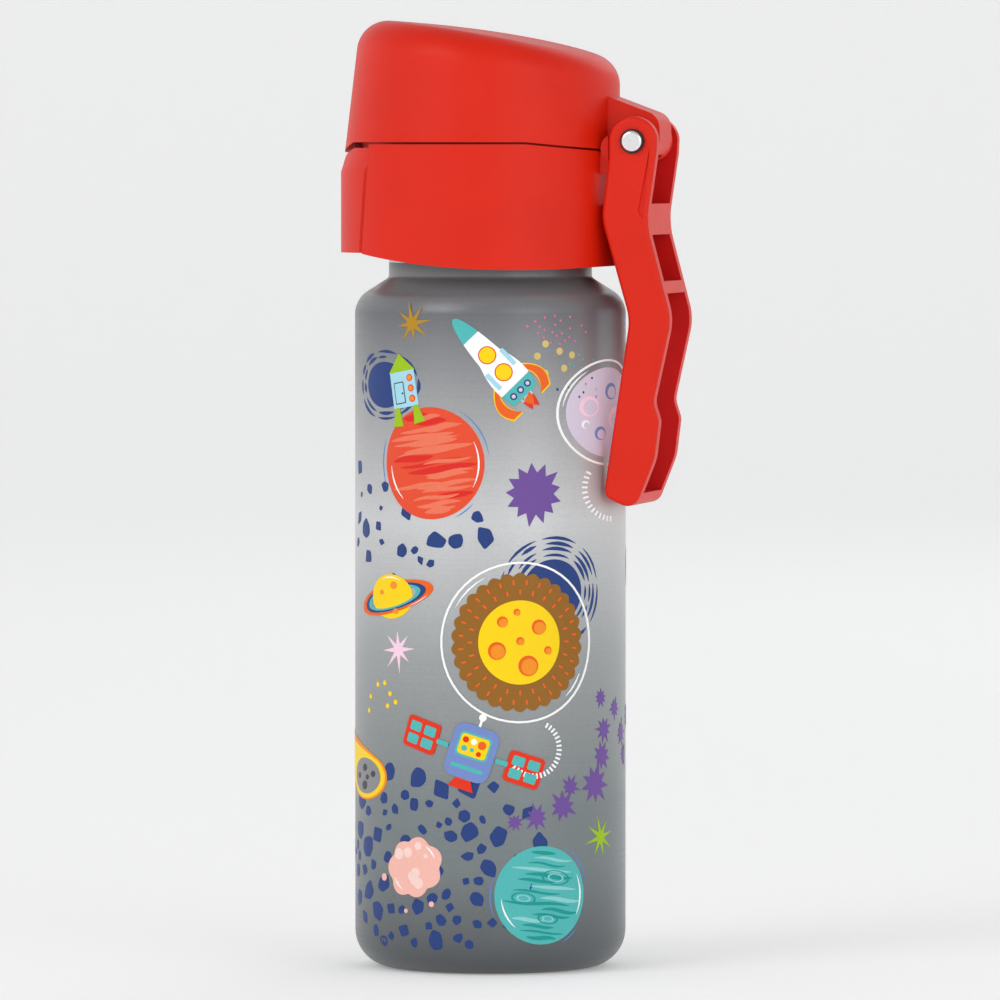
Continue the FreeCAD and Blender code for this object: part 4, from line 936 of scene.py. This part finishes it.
def makeMeteors():
    art = newPrint()
    for x, y, turn, radius, wide in meteors:
        place = at(x, y, 0, wide) @ at(0, 0, turn)
        teardrop(art, "amber", 2, place, radius + 1.1, 2.6)
        teardrop(art, "yellow", 3, place, radius + 0.65, 2.1)
        disc(art, "rockGrey", 4, place, radius * 0.93, 50)
        for spot, level, size in meteorCraters:
            crater = place @ at(spot * radius, level * radius, 30, 1.0, 0.78)
            disc(art, "darkGrey", 5, crater, size * radius, 26)
    wrapPrint(art, "print_meteors")


asteroids = [(-19.4, 25.6, 7.6), (62, 52, 5.6), (-62, 70, 5.2)]     # middle across and up, radius


def makeAsteroids():
    # lumpy pink rocks with paler spots and a few crumbs beside them
    art = newPrint()
    chance = random.Random(17)
    for x, y, radius in asteroids:
        lobed(art, "rose", 2, at(x, y), radius, 7, 0.14, 0.07)
        for number in range(9):
            across, up = around(radius * 0.72 * math.sqrt(chance.random()), chance.uniform(0, 360))
            size = radius * chance.uniform(0.07, 0.18)
            disc(art, "paleRose", 3 + number * 0.02, at(x + across, y + up), size, 22)
        for start in (22, 205):
            band(art, "white", 4, at(x, y), radius * 0.82, 0.4, start, 34, True)
        for angle, reach, size in ((196, 1.3, 0.12), (300, 1.3, 0.09), (258, 1.4, 0.07)):
            across, up = around(radius * reach, angle)
            disc(art, "rose", 2, at(x + across, y + up), radius * size, 18)
    wrapPrint(art, "print_asteroids")


for makePrint in (makeStars, makeDots, makeSwirls, makeRocks, makeRedPlanets, makeTealPlanets, makeLanders,
                  makeRockets, makeMoons, makeRingedPlanets, makeSuns, makeSatellites, makeMeteors,
                  makeAsteroids):
    makePrint()
print("pattern printed:", len(inkMaterials), "inks")


# floor, light and camera

studio = {
    "floorRadius": 3.2,     # m
    "sweepRadius": 1.2,
    "wallHeight": 2.6,
    "paper": "#F4F4F4",
    "glow": 0.225,          # the paper's own light, for an even pale ground
    "air": "#F6F7F8",
    "airStrength": 0.5,
    "lampTarget": (0, 0, 0.12),
}
# name, place and diameter in m, power in W
lamps = [
    ("key_softbox", (-1.3, -1.9, 1.5), 1.6, 15.5),
    ("fill_softbox", (1.7, -1.6, 0.9), 1.8, 8.4),
    ("rear_softbox", (0.6, 2.0, 1.4), 1.4, 4.5),
]


def makeFloor():
    # a round pale floor that curves up into a plain wall
    bm = bmesh.new()
    reach, height = studio["floorRadius"] + studio["sweepRadius"], studio["wallHeight"]
    points = [bm.verts.new(p) for p in ((0, 0, 0), (reach, 0, 0), (reach, 0, height))]
    for a, b in zip(points, points[1:]):
        bm.edges.new((a, b))
    bmesh.ops.bevel(bm, geom=[points[1]], offset=studio["sweepRadius"], offset_type="OFFSET",
                    affect="VERTICES", segments=24, profile=0.5, clamp_overlap=False, material=-1)
    bmesh.ops.spin(bm, geom=bm.verts[:] + bm.edges[:], cent=(0, 0, 0), axis=(0, 0, 1), angle=math.tau,
                   steps=96, use_merge=True, use_duplicate=False)
    bmesh.ops.remove_doubles(bm, verts=bm.verts, dist=0.0001)
    bmesh.ops.recalc_face_normals(bm, faces=bm.faces)
    if bm.faces[0].normal.z < 0:
        bmesh.ops.reverse_faces(bm, faces=bm.faces)
    for face in bm.faces:
        face.smooth = True
    mesh = bpy.data.meshes.new("studio_floor")
    bm.to_mesh(mesh)
    bm.free()
    material, tree, shader, place = newMaterial("palePaper")
    fibre = addNode(tree, "ShaderNodeTexNoise", {"Scale": 400.0, "Detail": 2.0}, {"Vector": place})
    value = addNode(tree, "ShaderNodeMapRange", {"To Min": 0.985, "To Max": 1.01},
                    {"Value": fibre.outputs[0]})
    tint = addNode(tree, "ShaderNodeHueSaturation", {"Color": linearColour(studio["paper"])},
                   {"Value": value.outputs[0]})
    tree.links.new(tint.outputs[0], shader.inputs["Base Color"])
    setShader(shader, {"Roughness": 0.9, "Specular IOR Level": 0.1, "Emission Color": (1, 1, 1, 1),
                       "Emission Strength": studio["glow"]})
    mesh.materials.append(material)
    floor = bpy.data.objects.new("studio_floor", mesh)
    bpy.context.scene.collection.objects.link(floor)


def aimed(thing, place, target):
    # put a lamp or a camera in its place, looking at the target
    way = Vector(target) - Vector(place)
    thing.location = place
    thing.rotation_euler = way.to_track_quat("-Z", "Y").to_euler()


def makeLight(name, place, size, power):
    lamp = bpy.data.lights.new(name, "AREA")
    lamp.shape = "DISK"
    lamp.size = size
    lamp.energy = power
    light = bpy.data.objects.new(name, lamp)
    light.visible_camera = False
    bpy.context.scene.collection.objects.link(light)
    aimed(light, place, studio["lampTarget"])


makeFloor()
for lamp in lamps:
    makeLight(*lamp)

world = bpy.data.worlds.new("studio_air")
world.use_nodes = True
setShader(world.node_tree.nodes["Background"],
          {"Color": linearColour(studio["air"]), "Strength": studio["airStrength"]})
bpy.context.scene.world = world
bpy.context.scene.view_settings.view_transform = "Standard"

cameraSet = {
    "azimuth": 12.0,        # degrees round from square on to the side
    "distance": 2.3,        # m
    "height": 0.198,        # m
    "aim": (0.00225, 0.00048, 0.112),
    "lens": 345.0,          # mm
    "sensor": 36.0,         # mm
    "farthest": 60.0,       # m
}
camera = bpy.data.objects.new("camera", bpy.data.cameras.new("camera"))
camera.data.lens = cameraSet["lens"]
camera.data.sensor_width = cameraSet["sensor"]
camera.data.clip_end = cameraSet["farthest"]
bpy.context.scene.collection.objects.link(camera)
bearing = math.radians(cameraSet["azimuth"])
away = cameraSet["distance"]
stand = (away * math.sin(bearing), -away * math.cos(bearing), cameraSet["height"])
aimed(camera, stand, cameraSet["aim"])
bpy.context.scene.camera = camera
print("studio set")
